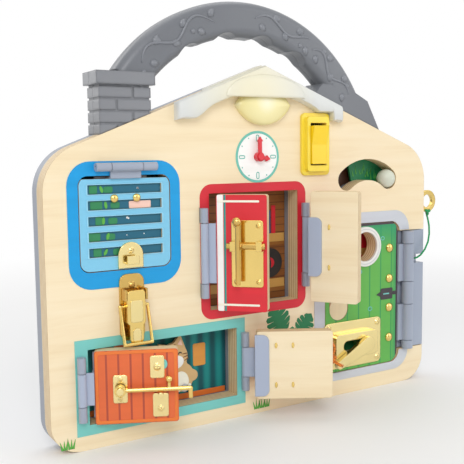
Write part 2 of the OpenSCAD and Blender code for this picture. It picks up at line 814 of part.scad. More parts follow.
module kennel_hook() {
    color("gold") swung_left(kennel_left_axis, kennel_left_open) difference() {
        union() {
            rod_x(hook_x, eye_x, hook_y, hook_z, hook_r);
            rod_y(hook_x, hook_z, hook_y - 2, hook_y + 2, 4);
            translate([eye_x, hook_y, hook_z]) sphere(hook_r, $fn = 32);
            rod_z(eye_x, hook_y, hook_z - 7, hook_z, hook_r);
            // Finger tab
            rod_z(hook_x + 34, hook_y, hook_z, hook_z + 6, 1.2);
            translate([hook_x + 34, hook_y, hook_z + 7]) sphere(2.4, $fn = 32);
        }
        rod_y(hook_x, hook_z, hook_y - 3, hook_y + 3, hook_pin_r + pin_play);
    }
}
module kennel_hook_eye() {
    color("goldenrod") swung_right(kennel_right_axis, kennel_right_open) {
        hook_plate(eye_x + 1, hook_z - 5, 9, 22);
        for (z = [hook_z + 3, hook_z - 13]) domed_screw(eye_x + 1, z, -brass_t, 1.7, 0.8, brass_t);
        difference() {
            union() {
                rod_z(eye_x, hook_y, hook_z - 6.8, hook_z - hook_r - 0.8, 4.4);
                box([eye_x - 2, hook_y, hook_z - 6.8], [eye_x + 2, -brass_t + 0.2, hook_z - hook_r - 0.8]);
            }
            rod_z(eye_x, hook_y, hook_z - 10, hook_z + 1, hook_r + 0.7);
        }
    }
}

// ---- Wooden cat that tips on a pin in the kennel ----
cat_x = kennel_x + 20;
cat_z = kennel_z - 17;
cat_tilt = -16;
cat_y0 = small_door_t + 3;
cat_t = 3;
module cat_figure() {
    color("burlywood") translate([cat_x, 0, cat_z]) rotate([0, cat_tilt, 0]) difference() {
        slab(cat_y0, cat_y0 + cat_t) union() {
            translate([0, 26]) circle(11, $fn = 64);
            polygon([[10.6, 29], [9.5, 41], [2, 36.5], [-2, 36.5], [-9.5, 41], [-10.6, 29]]);
            translate([0, 9]) circle(11.5, $fn = 64);
            polygon([[9, 8], [8, 24], [-8, 24], [-9, 8]]);
            translate([10, 6]) circle(4.5, $fn = 40);
        }
        rod_y(0, 0, cat_y0 - 1, cat_y0 + cat_t + 1, 1.5 + pin_play);
    }
}
module cat_pivot_pin() {
    color("silver") {
        rod_y(cat_x, cat_z, cat_y0 - 0.6, floor_y - card_t, 1.5);
        rod_y(cat_x, cat_z, cat_y0 - 1.8, cat_y0 - 0.6, 3);
    }
}

// ---- Shutter and its toggle latch ----
slat_rows = 5;
slat_pitch = 11;
slat_h = 6.4;
shutter_screw_x = [window_x - 8.5, window_x + 8.5];
shutter_screw_z = window_z + 17.5;
module shutter() {
    w = window_w - 2 * door_gap;
    color("skyblue") difference() {
        slab(0, shutter_t) intersection() {
            translate([window_x, window_z]) round_rect(w, window_h - 2 * door_gap, 6.5);
            translate([window_x - w, window_bottom]) square([2 * w, window_h - door_gap - leaf_t]);
        }
        // Five rows of louvres, cut as shallow recesses
        for (i = [0:slat_rows - 1])
            translate([window_x, 0, window_z + 24 - i * slat_pitch]) slab(-1, 1.6)
                square([window_w - 14, slat_h], center = true);
        for (x = shutter_screw_x) rod_y(x, shutter_screw_z, -1, shutter_t - 1, 1.05);
    }
}
module shutter_leaf() {
    color("lightsteelblue") translate([window_x, axis_y, window_axis_z]) rotate([0, 90, 0])
        small_leaf(window_barrel_w, 40, shutter_t);
}
module shutter_screws() {
    color("gold") for (x = shutter_screw_x) domed_screw(x, shutter_screw_z, 0, 3, 1, shutter_t - 2);
}
module latch_catch() {
    z0 = window_bottom + door_gap + 0.6;
    color("goldenrod") {
        slab(-brass_t, 0) intersection() {
            translate([latch_x, z0 + 9]) circle(latch_w / 2, $fn = 64);
            translate([latch_x - 20, z0]) square([40, 40]);
        }
        slab(-brass_t, 0) translate([latch_x - latch_w / 2, z0]) square([latch_w, 9]);
        // Hook with its lip turned up
        box([latch_x - 4.5, -4.6, z0 + 3], [latch_x + 4.5, -brass_t + 0.1, z0 + 4.4]);
        box([latch_x - 4.5, -6, z0 + 3], [latch_x + 4.5, -4.6, z0 + 9]);
        domed_screw(latch_x, z0 + 12.5, -brass_t, 2.2, 0.9, brass_t);
    }
}

lever_y = -6;
lever_z = latch_z - 14;
lever_pin_r = 1.5;
lever_half = 6.9;
lever_bottom = latch_z - 50.4;
lever_drop = 22;
lever_top = 3;
bail_y = -4;
bail_z = lever_z - 8.5;
bail_r = 1.2;
bail_half = 10.6;
bail_l = 27.3;
bail_rest = 15;
module latch_base() {
    ear = 1.2;
    color("goldenrod") difference() {
        union() {
            slab(-brass_t, 0) translate([latch_x, latch_z - 24]) round_rect(latch_w, 48, 6);
            for (s = [-1, 1])
                box([latch_x + s * 8 - ear / 2, lever_y - 3.5, lever_z - 4], [latch_x + s * 8 + ear / 2, 0, lever_z + 4]);
            rod_x(latch_x - 8, latch_x + 8, lever_y, lever_z, lever_pin_r);
        }
        for (z = latch_screw_z) rod_y(latch_x, z, -5, 1, 1.2);
    }
    color("gold") for (z = latch_screw_z) domed_screw(latch_x, z, -brass_t, 2.3, 1, 5);
}
module latch_lever() {
    color("gold") difference() {
        union() {
            // Face plate with a round upper end and a narrower tab below
            slab(lever_y - 3, lever_y - 1.6) {
                translate([latch_x, lever_z + (lever_top - lever_drop) / 2]) round_rect(2 * lever_half, lever_drop + lever_top, 3);
                translate([latch_x - 5.2, lever_bottom + 5.2]) square([10.4, lever_z - lever_drop - lever_bottom - 4]);
                translate([latch_x, lever_bottom + 5.2]) circle(5.2, $fn = 64);
            }
            for (s = [-1, 1])
                union() {
                    box([latch_x + s * (lever_half - 0.6) - 0.6, lever_y - 3, lever_z - 20],
                        [latch_x + s * (lever_half - 0.6) + 0.6, -brass_t - 0.5, lever_z]);
                    rod_x(latch_x + s * (lever_half - 0.6) - 0.6, latch_x + s * (lever_half - 0.6) + 0.6, lever_y, lever_z, lever_top);
                }
        }
        rod_x(latch_x - 10, latch_x + 10, lever_y, lever_z, lever_pin_r + pin_play);
        rod_x(latch_x - 12, latch_x + 12, bail_y, bail_z, bail_r + pin_play);
    }
}
module latch_bail() {
    color("gold") translate([latch_x, bail_y, bail_z]) rotate([-bail_rest, 0, 0]) {
        rod_x(-bail_half, bail_half, 0, 0, bail_r);
        rod_x(-bail_half, bail_half, 0, -bail_l, bail_r);
        for (s = [-1, 1]) {
            rod_z(s * bail_half, 0, -bail_l, 0, bail_r);
            for (z = [0, -bail_l]) translate([s * bail_half, 0, z]) sphere(bail_r, $fn = 32);
        }
    }
}

// ---- Front door ----
door_left = doorway_left + door_gap;
door_right = doorway_right - door_gap - 2;
porthole_x = 105;
porthole_z = 126.3;
recess_x = 77;
recess_w = 20;
recess_z0 = 65;
recess_z1 = 121.5;
lock_z = 94;
lock_r = 6;
cam_l = 18.5;
chain_x = 92;
chain_z = 43.5;
chain_w = 62;
chain_h = 40;
door_screw_z = [123, 96, 70, 43];
door_screw_x = 134;
leaf_flap = 18;
chain_box_w = 46;
chain_box_h = 21;
chain_rise = 7;
slot_half = 15;

module recess_outline(grow = 0) {
    translate([recess_x, (recess_z0 + recess_z1) / 2])
        round_rect(recess_w + 2 * grow, recess_z1 - recess_z0 + 2 * grow, recess_w / 2 + grow - 0.01);
}
module front_door() {
    color("limegreen") difference() {
        slab(0, door_t) translate([(door_left + door_right) / 2, doorway_z + doorway_h / 2])
            round_rect(door_right - door_left, doorway_h - 2 * door_gap, door_corner_r - 1);
        rod_y(porthole_x, porthole_z, -1, door_t + 1, porthole_d / 2);
        slab(-1, 3.6) recess_outline();
        slab(3, 5.2) recess_outline(-2);
        rod_y(recess_x, lock_z, 0, door_t + 1, lock_r + 0.1);
        for (z = door_screw_z) rod_y(door_screw_x, z, -1, 9, 1.1);
        // Pocket behind the chain plate's slot
        slab(-1, 6) translate([chain_x, chain_z]) square([2 * slot_half + 14, 15], center = true);
    }
}
module front_door_column() {
    bore = 1.5 + pin_play;
    plate_y = column_y + column_r + 0.4;
    cuts = column_cuts;
    color("slategray") {
        for (i = [0, 2, 4]) difference() {
            union() {
                rod_z(column_x, column_y, column_z + cuts[i], column_z + cuts[i + 1], column_r);
                box([column_x, column_y, column_z + cuts[i]], [column_x + column_r, plate_y + 0.2, column_z + cuts[i + 1]]);
                box([column_x - 1, column_y + 2, column_z + cuts[i]], [column_x + 2, plate_y + 0.2, column_z + cuts[i + 1]]);
            }
            rod_z(column_x, column_y, column_z - 1, column_z + column_h + 1, bore);
        }
        difference() {
            union() {
                box([doorway_right + 1.4, plate_y, column_z], [board_w / 2, floor_y - 0.3, column_z + column_h]);
                box([column_x + column_r + 2, 0, column_z], [board_w / 2, plate_y + 1, column_z + column_h]);
            }
            // Notch for the key's cord, open to the side
            box([cord_hole_x - 2.6, -1, cord_hole_z - 4], [board_w / 2 + 1, 9, cord_hole_z + 4]);
        }
    }
}
column_cuts = [0, 7.4, 40.8, 60.8, 95, 106];
cord_hole_x = 166;
cord_hole_z = 111;
module front_door_pin() {
    color("silver") rod_z(column_x, column_y, column_z + 1, column_z + column_h - 1, 1.5);
}
module front_door_leaf() {
    bore = 1.5 + pin_play;
    color("lightsteelblue") for (i = [1, 3]) {
        z0 = column_z + column_cuts[i] + knuckle_gap;
        z1 = column_z + column_cuts[i + 1] - knuckle_gap;
        difference() {
            union() {
                rod_z(column_x, column_y, z0, z1, column_r);
                box([door_right, -1.8, z0], [column_x, 0.8, z1]);
                box([door_right, -1.8, z0], [door_right + 2, door_t + 2, z1]);
                box([door_right - leaf_flap, door_t, z0 + 2], [door_right + 2, door_t + 2, z1 - 2]);
            }
            rod_z(column_x, column_y, z0 - 1, z1 + 1, bore);
        }
    }
}
module porthole_ring() {
    color("white") slab(-2.4, 0) difference() {
        translate([porthole_x, porthole_z]) circle(porthole_d / 2 + 4.5, $fn = 96);
        translate([porthole_x, porthole_z]) circle(porthole_d / 2, $fn = 96);
    }
}
module front_door_screws() {
    color("gold") for (z = door_screw_z) domed_screw(door_screw_x, z, 0, 4, 1, 8);
}

// Brass box of the door chain, with the slot in its raised face
module chain_plate() {
    color("goldenrod") {
        difference() {
            slab(-brass_t, 0) translate([chain_x, chain_z]) round_rect(chain_w, chain_h, 4);
            slab(-5, 5) translate([chain_x, chain_z]) square([chain_box_w - 3, chain_box_h - 3], center = true);
        }
        difference() {
            slab(-chain_rise, -brass_t) translate([chain_x, chain_z]) round_rect(chain_box_w, chain_box_h, 4);
            slab(-chain_rise + brass_t, 5) translate([chain_x, chain_z])
                square([chain_box_w - 3, chain_box_h - 3], center = true);
            slab(-10, 5) translate([chain_x, chain_z]) round_rect(2 * slot_half, 9, 4.49);
        }
        for (sx = [-1, 1], sz = [-1, 1])
            domed_screw(chain_x + sx * (chain_w / 2 - 4), chain_z + sz * (chain_h / 2 - 4.4), -brass_t, 2.8, 0.9, brass_t);
    }
}

// Brass tongue that stands in the slot and slides along it
tab_x = chain_x + slot_half - 5.4;
tab_tip = [70, 29.5];
module chain_tab() {
    color("gold") difference() {
        union() {
            rod_y(tab_x, chain_z, -chain_rise - 3, 3.4, 3.2);
            rod_y(tab_x, chain_z, -chain_rise + brass_t + 0.3, 3.4, 5.6);
            slab(-chain_rise - 4.6, -chain_rise - 0.4) hull() {
                translate([tab_x, chain_z]) circle(6.4, $fn = 32);
                translate(tab_tip) circle(3.4, $fn = 32);
            }
        }
        rod_y(tab_tip[0], tab_tip[1], -20, 0, 1.1);
    }
}

// Grey block beside the door, with a round button for the cord's loop
keeper_w = 21;
keeper_h = 28;
button_z = keeper_z - 1;
button_x = keeper_x + 2.5;
module chain_keeper() {
    color("slategray") {
        slab(-8, 0) translate([keeper_x, keeper_z]) round_rect(keeper_w, keeper_h, 4);
        slab(-0.5, floor_y) translate([keeper_x, keeper_z]) square([10, 20], center = true);
        rod_y(button_x, button_z, -11.5, -8, 4.2);
        translate([button_x, -11.5, button_z]) intersection() {
            sphere(4.2, $fn = 48);
            box([-5, -2.6, -5], [5, 0.1, 5]);
        }
    }
}

// Cords: round sections swept along a list of points
function cord_dir(p, i) =
    let (a = p[max(i - 1, 0)], b = p[min(i + 1, len(p) - 1)]) (b - a) / norm(b - a);
function unit(v) = v / norm(v);
function cord_ring(c, d, r, n) =
    let (u = unit(cross(d, abs(d[1]) < 0.9 ? [0, 1, 0] : [1, 0, 0])), v = cross(d, u))
    [for (k = [0:n - 1]) c + r * (u * cos(360 * k / n) + v * sin(360 * k / n))];
module cord(p, r, n = 8) {
    m = len(p);
    polyhedron(
        points = [for (i = [0:m - 1]) each cord_ring(p[i], cord_dir(p, i), r, n)],
        faces = concat(
            [[for (k = [0:n - 1]) k]],
            [for (i = [0:m - 2], k = [0:n - 1])
                [i * n + k, (i + 1) * n + k, (i + 1) * n + (k + 1) % n, i * n + (k + 1) % n]],
            [[for (k = [n - 1:-1:0]) (m - 1) * n + k]]));
}

// Orange cord: a noose around the keeper's button with a tail on the tongue's tip
chain_cord_r = 1.3;
chain_loop = [9.2, 7.2];
chain_loop_y = -9.6;
chain_knot = [61.6, -10.4, 36.2];
module chain_cord() {
    c = [button_x + 3, chain_loop_y, button_z];
    color("orange") cord(concat(
        [[70.6, -13.1, 29.4], [68.4, -13.1, 30.4], [66, -13, 31.8], [63.6, -12, 33.8], chain_knot],
        [for (a = [-40:20:260]) c + [chain_loop[0] * cos(a), 0, chain_loop[1] * sin(a)]],
        [chain_knot + [-1.7, 0.4, 0.5]]), chain_cord_r);
}

module keyhole_cover() {
    color("wheat") translate([recess_x, 0, recess_z0 + 0.3 + 10]) slab(0.2, 3.3)
        round_rect(recess_w - 0.8, 20, recess_w / 2 - 0.41);
}
module lock_cylinder() {
    color("goldenrod") difference() {
        union() {
            rod_y(recess_x, lock_z, 3.7, 5, 7.6);
            rod_y(recess_x, lock_z, 5, panel_t + 0.5, lock_r);
            slab(panel_t + 0.5, panel_t + 2.1) {
                translate([recess_x, lock_z]) circle(6, $fn = 48);
                translate([recess_x - 4, lock_z]) square([8, cam_l]);
            }
        }
        // Keyhole
        rod_y(recess_x, lock_z + 1.6, 2, 11, 2);
        box([recess_x - 1, 2, lock_z - 4.4], [recess_x + 1, 11, lock_z + 1]);
    }
}

// ---- Clock ----
module clock_hands_pin() {
    color("gold") {
        rod_y(clock_x, clock_z, -4.6, panel_t - 1, 1.5);
        rod_y(clock_x, clock_z, -5.8, -4.6, 2.8);
    }
}
module clock_hand(y0, y1, l, w) {
    difference() {
        slab(y0, y1) union() {
            circle(3.6, $fn = 48);
            translate([-w / 2, 0]) square([w, l - w]);
            polygon([[w / 2 + 1.1, l - w - 1], [0, l], [-w / 2 - 1.1, l - w - 1]]);
        }
        rod_y(0, 0, y0 - 1, y1 + 1, 1.5 + pin_play);
    }
}
module clock_hour_hand() {
    color("red") translate([clock_x, 0, clock_z]) rotate([0, 100, 0]) clock_hand(-2.3, -0.3, 11, 2.6);
}
module clock_minute_hand() {
    color("red") translate([clock_x, 0, clock_z]) clock_hand(-4.5, -2.5, 15.5, 2.6);
}

// ---- Ball in the curved slot, on a plate that swings behind the panel ----
ball_plate_y0 = panel_t + 0.6;
ball_plate_y1 = panel_t + 2.8;
module greeting_ball_plate() {
    color("forestgreen") difference() {
        slab(ball_plate_y0, ball_plate_y1) translate([slot_x, slot_pivot_z]) {
            circle(5, $fn = 48);
            polygon([[0, 0], [5, -1], [38, 20], [20, 38]]);
            sector(swing_r - 10.5, swing_r + 10.5, -14, 54);
        }
        rod_y(slot_x, slot_pivot_z, ball_plate_y0 - 1, ball_plate_y1 + 1, 3 + pin_play);
    }
    color("burlywood") translate([slot_x + swing_r * sin(swing_half), 0, slot_pivot_z + swing_r * cos(swing_half)]) {
        translate([0, ball_y, 0]) sphere(ball_d / 2, $fn = 64);
        rod_y(0, 0, ball_y, ball_plate_y0 + 0.1, 2.5);
    }
}
ball_y = 3;

// ---- Key kept in the right side ----
module door_key() {
    x0 = board_w / 2;
    color("goldenrod") slab(5.2, 8.2) {
        translate([x0 - 28, key_z]) square([36, 4.4]);
        translate([x0 - 28, key_z - 5.5]) square([9, 6]);
        translate([x0 + 0.4, key_z - 4]) square([6, 8]);
        difference() {
            translate([x0 + 10, key_z]) circle(10, $fn = 64);
            translate([x0 + 10, key_z]) circle(6, $fn = 48);
        }
    }
}
key_cord_r = 0.8;
module key_cord() {
    color("green") cord([
        [185, 6.7, 151.6], [185, 6, 149.5], [184.4, 4, 146], [182.6, 0.5, 140], [179.4, -3, 133], [176, -5, 126],
        [172, -5.2, 119.5], [168.6, -3.6, 114.5], [166.6, -1, 112], [166, 2, 111], [166, 5, 111], [166, 8.9, 111]],
        key_cord_r);
}

front_panel();
back_shell();
handle_front_shell();
handle_rear_shell();
shell_screws();
roof_canopy();
lamp_lens();
lamp_board();
battery_cells();
battery_cover();
battery_cover_screw();
switch_plate();
switch_rocker();
room_backdrops();
door_stops();
small_hinge_posts();
small_hinge_pins();
closet_left_door();
closet_left_leaf();
closet_bolt_case();
closet_bolt();
closet_right_door();
closet_right_leaf();
closet_bolt_staple();
kennel_left_door();
kennel_left_leaf();
kennel_hook_plates();
kennel_hook();
kennel_right_door();
kennel_right_leaf();
kennel_hook_eye();
cat_figure();
cat_pivot_pin();
shutter();
shutter_leaf();
shutter_screws();
latch_catch();
latch_base();
latch_lever();
latch_bail();
front_door();
front_door_leaf();
front_door_column();
front_door_pin();
porthole_ring();
front_door_screws();
chain_plate();
chain_tab();
chain_cord();
chain_keeper();
keyhole_cover();
lock_cylinder();
clock_hands_pin();
clock_hour_hand();
clock_minute_hand();
greeting_ball_plate();
door_key();
key_cord();
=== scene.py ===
"""Busy board shaped like a house: looks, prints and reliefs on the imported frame.

The helpers take millimetres, and MM turns them into metres. The materials take metres.
Colours are sRGB from 0 to 255.
"""
import math
from functools import partial
from random import seed, uniform

import bpy
from mathutils import Matrix, Vector
from mathutils.geometry import tessellate_polygon


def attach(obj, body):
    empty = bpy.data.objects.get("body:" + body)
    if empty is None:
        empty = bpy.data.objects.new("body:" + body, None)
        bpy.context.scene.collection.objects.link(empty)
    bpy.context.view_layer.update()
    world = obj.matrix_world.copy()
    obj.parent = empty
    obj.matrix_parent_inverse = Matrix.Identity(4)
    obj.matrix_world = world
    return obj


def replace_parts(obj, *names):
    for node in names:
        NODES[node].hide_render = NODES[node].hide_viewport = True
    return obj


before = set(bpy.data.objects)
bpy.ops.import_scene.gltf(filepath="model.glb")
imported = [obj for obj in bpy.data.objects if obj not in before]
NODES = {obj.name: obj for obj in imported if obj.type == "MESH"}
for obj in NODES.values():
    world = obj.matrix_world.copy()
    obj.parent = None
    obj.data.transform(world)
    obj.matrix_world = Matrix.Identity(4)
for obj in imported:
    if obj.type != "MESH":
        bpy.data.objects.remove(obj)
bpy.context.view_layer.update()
MM = 0.001


def new_object(name, data):
    ob = bpy.data.objects.new(name, data)
    bpy.context.scene.collection.objects.link(ob)
    return ob


# ---------- camera
CAM_POS = Vector((-330.1, -498.0, 207.2)) * MM
YAW, PITCH, ROLL = math.radians(31.24), math.radians(5.87), math.radians(-0.68)
FOCAL_PX, FRAME_PX, SENSOR = 762.0, 464.0, 36.0

forward = Vector((math.sin(YAW) * math.cos(PITCH), math.cos(YAW) * math.cos(PITCH), -math.sin(PITCH)))
right = Vector((math.cos(YAW), -math.sin(YAW), 0))
up = right.cross(forward)
cam_x = right * math.cos(ROLL) + up * math.sin(ROLL)
cam_y = up * math.cos(ROLL) - right * math.sin(ROLL)
cam_data = bpy.data.cameras.new("camera")
cam_data.sensor_width = SENSOR
cam_data.sensor_fit = "HORIZONTAL"
cam_data.lens = FOCAL_PX / FRAME_PX * SENSOR
cam_data.clip_start, cam_data.clip_end = 0.01, 20
camera = new_object("camera", cam_data)
camera.matrix_world = Matrix.Translation(CAM_POS) @ Matrix((cam_x, cam_y, -forward)).transposed().to_4x4()
bpy.context.scene.camera = camera

# ---------- materials
X, Y, Z, FRONT = (1, 0, 0), (0, 1, 0), (0, 0, 1), (0, -1, 0)
MATS = {}


def linear(c, k=1.0):
    """An sRGB colour as linear RGBA, k times as bright."""
    def lin(v):
        v /= 255
        return v / 12.92 if v <= 0.04045 else ((v + 0.055) / 1.055) ** 2.4
    return tuple(min(1, lin(v) * k) for v in c) + (1,)


class Graph:
    """A short way to build a material's nodes; the material is kept in MATS under its name."""

    def __init__(self, name, rough=0.5, metal=0.0, coat=0.0):
        mat = MATS[name] = bpy.data.materials.new(name)
        mat.use_nodes = True
        self.tree = mat.node_tree
        self.bsdf = self.tree.nodes["Principled BSDF"]
        for socket, value in (("Roughness", rough), ("Metallic", metal), ("Coat Weight", coat),
                              ("Coat Roughness", 0.15)):
            self.bsdf.inputs[socket].default_value = value
        coord = self.tree.nodes.new("ShaderNodeTexCoord")
        self.pos, self.normal = coord.outputs["Object"], coord.outputs["Normal"]

    def put(self, socket, value):
        """Links an output to the socket or sets its value, which is sRGB on a colour socket."""
        if isinstance(value, bpy.types.NodeSocket):
            self.tree.links.new(value, socket)
        else:
            socket.default_value = linear(value) if socket.type == "RGBA" else value

    def node(self, kind, inputs, out=0, **props):
        """Adds a node, fills the inputs named or numbered, and returns one output."""
        n = self.tree.nodes.new("ShaderNode" + kind)
        for k, v in props.items():
            setattr(n, k, v)
        for socket, value in inputs.items():
            self.put(n.inputs[socket], value)
        return n.outputs[out]

    def math(self, op, a, b=0.0, c=0.0, clamp=False):
        return self.node("Math", {0: a, 1: b, 2: c}, operation=op, use_clamp=clamp)

    def times(self, a, b):
        return self.math("MULTIPLY", a, b)

    def dot(self, vec, d):
        return self.node("VectorMath", {0: vec, 1: d}, "Value", operation="DOT_PRODUCT")

    def distance(self, point, unit):
        far = self.node("VectorMath", {0: self.pos, 1: point}, "Value", operation="DISTANCE")
        return self.math("DIVIDE", far, unit)

    def ripple(self, value, pitch):
        """A sine wave of that pitch, between 0 and 1."""
        return self.math("MULTIPLY_ADD", self.math("SINE", self.times(value, 2 * math.pi / pitch)), 0.5, 0.5)

    def noise(self, scale, detail=3.0, rough=0.5, stretch=(1, 1, 1), vec=None, distortion=0.0):
        place = self.node("Mapping", {"Vector": self.pos if vec is None else vec, "Scale": stretch})
        return self.node("TexNoise", {"Vector": place, "Scale": scale, "Detail": detail,
                                      "Roughness": rough, "Distortion": distortion}, "Fac")

    def ramp(self, fac, *stops):
        """A stop is its place, its colour and, if it isn't 1, how bright that is."""
        out = self.node("ValToRGB", {0: fac})
        elements = out.node.color_ramp.elements
        while len(elements) < len(stops):
            elements.new(0.5)
        for e, (place, *colour) in zip(elements, stops):
            e.position = place
            e.color = linear(*colour)
        return out

    def mix(self, fac, a, b, blend="MIX"):
        return self.node("Mix", {0: fac, 6: a, 7: b}, 2, data_type="RGBA", blend_type=blend)

    def above(self, value, edge, soft=0.0002):
        """0 below edge and 1 above it, over a soft band."""
        return self.node("MapRange", {"Value": value, "From Min": edge - soft, "From Max": edge + soft}, clamp=True)

    def below(self, value, edge, soft=0.0002):
        return self.math("SUBTRACT", 1.0, self.above(value, edge, soft))

    def band(self, value, lo, hi, soft=0.00008):
        return self.math("SUBTRACT", self.above(value, lo, soft), self.above(value, hi, soft), clamp=True)

    def bump(self, height, strength, distance, edge=0.0006):
        """Fine relief over edges that are rounded by edge."""
        soft = self.node("Bevel", {"Radius": edge}, samples=4)
        relief = self.node("Bump", {"Strength": strength, "Distance": distance, "Height": height, "Normal": soft})
        self.put(self.bsdf.inputs["Normal"], relief)

    def color(self, value):
        self.put(self.bsdf.inputs["Base Color"], value)

    def rough(self, fac, lo, hi):
        self.put(self.bsdf.inputs["Roughness"], self.node("MapRange", {"Value": fac, "To Min": lo, "To Max": hi}))

    def moulded(self, rough, edge=0.0006):
        """Satin surface of a moulded plastic piece."""
        self.rough(self.noise(40, 4), rough - 0.06, rough + 0.08)
        self.bump(self.noise(900, 2), 0.08, 0.00012, edge)


def plastic(name, c, rough=0.42, coat=0.0, edge=0.0006):
    g = Graph(name, rough, coat=coat)
    g.color(g.ramp(g.noise(9, 3), (0.3, c, 0.93), (0.7, c, 1.06)))
    g.moulded(rough, edge)


def paint(name, c):
    """Printed ink on wood: the grain shows through a little."""
    g = Graph(name, 0.4)
    grain = g.noise(60, 4, 0.6, (0.15, 1, 2.2))
    g.color(g.ramp(grain, (0.25, c, 0.93), (0.75, c, 1.05)))
    g.rough(grain, 0.35, 0.5)
    g.bump(grain, 0.05, 0.0001)


def metal(name, c, rough):
    g = Graph(name, rough, metal=1.0)
    g.color(g.ramp(g.noise(35, 4, 0.55), (0.25, c, 0.92), (0.55, c), (0.8, c, 1.06)))
    g.rough(g.noise(70, 4, 0.6), rough - 0.03, rough + 0.08)
    g.bump(g.noise(90, 2), 0.03, 0.0002, 0.001)


def fabric_cord(name, c):
    g = Graph(name, 0.75)
    twist_and_shade = g.node("TexWave", {"Vector": g.pos, "Scale": 260, "Distortion": 3}, "Fac",
                   wave_type="BANDS", bands_direction="DIAGONAL")
    # Darker in the grooves of the twist and brighter on its strands: painted shade and painted highlight
    g.color(g.ramp(twist_and_shade, (0.1, c, 0.6), (0.6, c), (0.95, c, 1.25)))
    g.bump(twist_and_shade, 0.5, 0.0004)
    g.bsdf.inputs["Sheen Weight"].default_value = 0.3


CREAM = (247, 231, 198)
PLY_PITCH = 0.0026


def wood(name, face=None, pattern=None, normal=FRONT, along=X, ply=True, stretch=(0.1, 1, 1.6)):
    """Plywood whose layers lie across normal. face is the paint on its outer face, which pattern draws on."""
    g = Graph(name, 0.48)
    u, w, z = g.dot(g.pos, along), g.dot(g.pos, normal), g.dot(g.pos, Z)
    place = g.node("CombineXYZ", {0: u, 1: w, 2: z})
    grain = g.noise(70, 6, 0.6, stretch, place, 0.4)
    base = g.ramp(grain, (0.2, (238, 217, 178)), (0.5, CREAM), (0.8, (251, 238, 210)))
    base = g.mix(g.times(g.noise(9, 3, 0.5, stretch, place), 0.35), base, (240, 220, 180), "MULTIPLY")
    facing = g.dot(g.normal, normal)
    if ply:
        layers = g.ramp(g.ripple(w, PLY_PITCH), (0.18, (206, 172, 120)), (0.5, CREAM), (0.85, (246, 229, 192)))
        layers = g.mix(g.times(g.noise(160, 4, 0.6), 0.45), layers, (190, 152, 102))
        base = g.mix(g.below(g.math("ABSOLUTE", facing), 0.6, 0.05), base, layers)
    if face:
        ink = g.ramp(grain, (0.25, face, 0.93), (0.75, face, 1.05))
        if pattern:
            ink = pattern(g, ink, u, z)
        base = g.mix(g.above(facing, 0.6, 0.02), base, ink)
    g.color(base)
    g.rough(grain, 0.4, 0.58)
    g.bump(grain, 0.12, 0.00022)


# Name, colour, roughness, coat, edge
for look in (("grey_plastic", (122, 125, 131), 0.36, 0.15, 0.001), ("grey_shell", (154, 159, 170), 0.45),
             ("dark_grey", (92, 95, 102), 0.45), ("barrel_grey", (158, 167, 184), 0.3, 0.2, 0.001),
             ("white_plastic", (236, 236, 230), 0.35, 0.2, 0.001), ("leaf_blue", (170, 181, 203), 0.35, 0.3, 0.001),
             ("yellow_plastic", (250, 222, 62), 0.3, 0.4, 0.001), ("yellow_deep", (255, 212, 10), 0.28, 0.4, 0.001),
             ("red_plastic", (222, 40, 55), 0.3, 0.3), ("board_green", (30, 110, 60)),
             # The relief is the handle's grey made paler: painted highlight on its raised vines, leaves and rivets
             ("stop_grey", (112, 118, 128), 0.35, 0.2), ("handle_relief", (126, 129, 136), 0.32, 0.2),
             ("flag_grey", (62, 60, 58), 0.9)):
    plastic(*look)
for look in (("brass", (236, 205, 124), 0.11), ("brass_pale", (242, 222, 158), 0.2),
             ("brass_dark", (214, 178, 102), 0.15), ("steel", (190, 190, 195), 0.25)):
    metal(*look)
for look in (("red", (214, 36, 52)), ("teal", (122, 203, 196)), ("blue", (0, 156, 222)), ("arch_grey", (204, 208, 215)),
             ("white", (252, 252, 248)), ("cream", (255, 249, 232)), ("clock_teal", (112, 196, 180)),
             ("leaf", (24, 120, 72)), ("lime", (92, 178, 70)), ("leaf_mid", (45, 135, 85)), ("pot", (235, 160, 72)),
             ("pot_shade", (215, 125, 55)), ("dark", (62, 56, 62)), ("brown", (150, 96, 40)), ("burnt", (88, 58, 42)),
             ("tan", (206, 158, 84)), ("orange", (236, 122, 48)), ("pink", (246, 205, 190)), ("navy", (30, 60, 130)),
             ("mid", (0, 110, 190)), ("deep", (12, 128, 128)), ("black", (48, 46, 46)), ("slat_teal", (22, 100, 126)),
             ("slat_light", (150, 214, 240)), ("recess_red", (122, 52, 44)), ("cat_stripe", (128, 78, 38)),
             ("cat_nose", (214, 52, 52))):
    paint(*look)
fabric_cord("orange_cord", (226, 126, 24))
fabric_cord("green_cord", (0, 158, 92))


# ---------- outlines in the front view
def polar(cx, cz, r, deg, rz=None):
    """Point at an angle in degrees from +X towards +Z, on a circle or on an ellipse of half height rz."""
    a = math.radians(deg)
    return (cx + r * math.cos(a), cz + (r if rz is None else rz) * math.sin(a))


def arc(cx, cz, r, a0, a1, n, rz=None):
    return [polar(cx, cz, r, a0 + (a1 - a0) * i / n, rz) for i in range(n + 1)]


def disc(cx, cz, r, n=48, rz=None):
    return arc(cx, cz, r, 0, 360, n, rz)[:-1]


def ring(cx, cz, r_out, r_in, n_out=56, n_in=16):
    """A disc with a round hole, as an outline and its hole."""
    return disc(cx, cz, r_out, n_out), disc(cx, cz, r_in, n_in)


def rrect(cx, cz, w, h, r, n=8):
    out = []
    for sx, sz, a in ((1, 1, 0), (-1, 1, 90), (-1, -1, 180), (1, -1, 270)):
        out += arc(cx + sx * (w / 2 - r), cz + sz * (h / 2 - r), r, a, a + 90, n)
    return out


def rect(x0, z0, x1, z1):
    return [(x0, z0), (x1, z0), (x1, z1), (x0, z1)]


def turned(pts, cx, cz, deg):
    c, s = math.cos(math.radians(deg)), math.sin(math.radians(deg))
    return [(cx + x * c - z * s, cz + x * s + z * c) for x, z in pts]


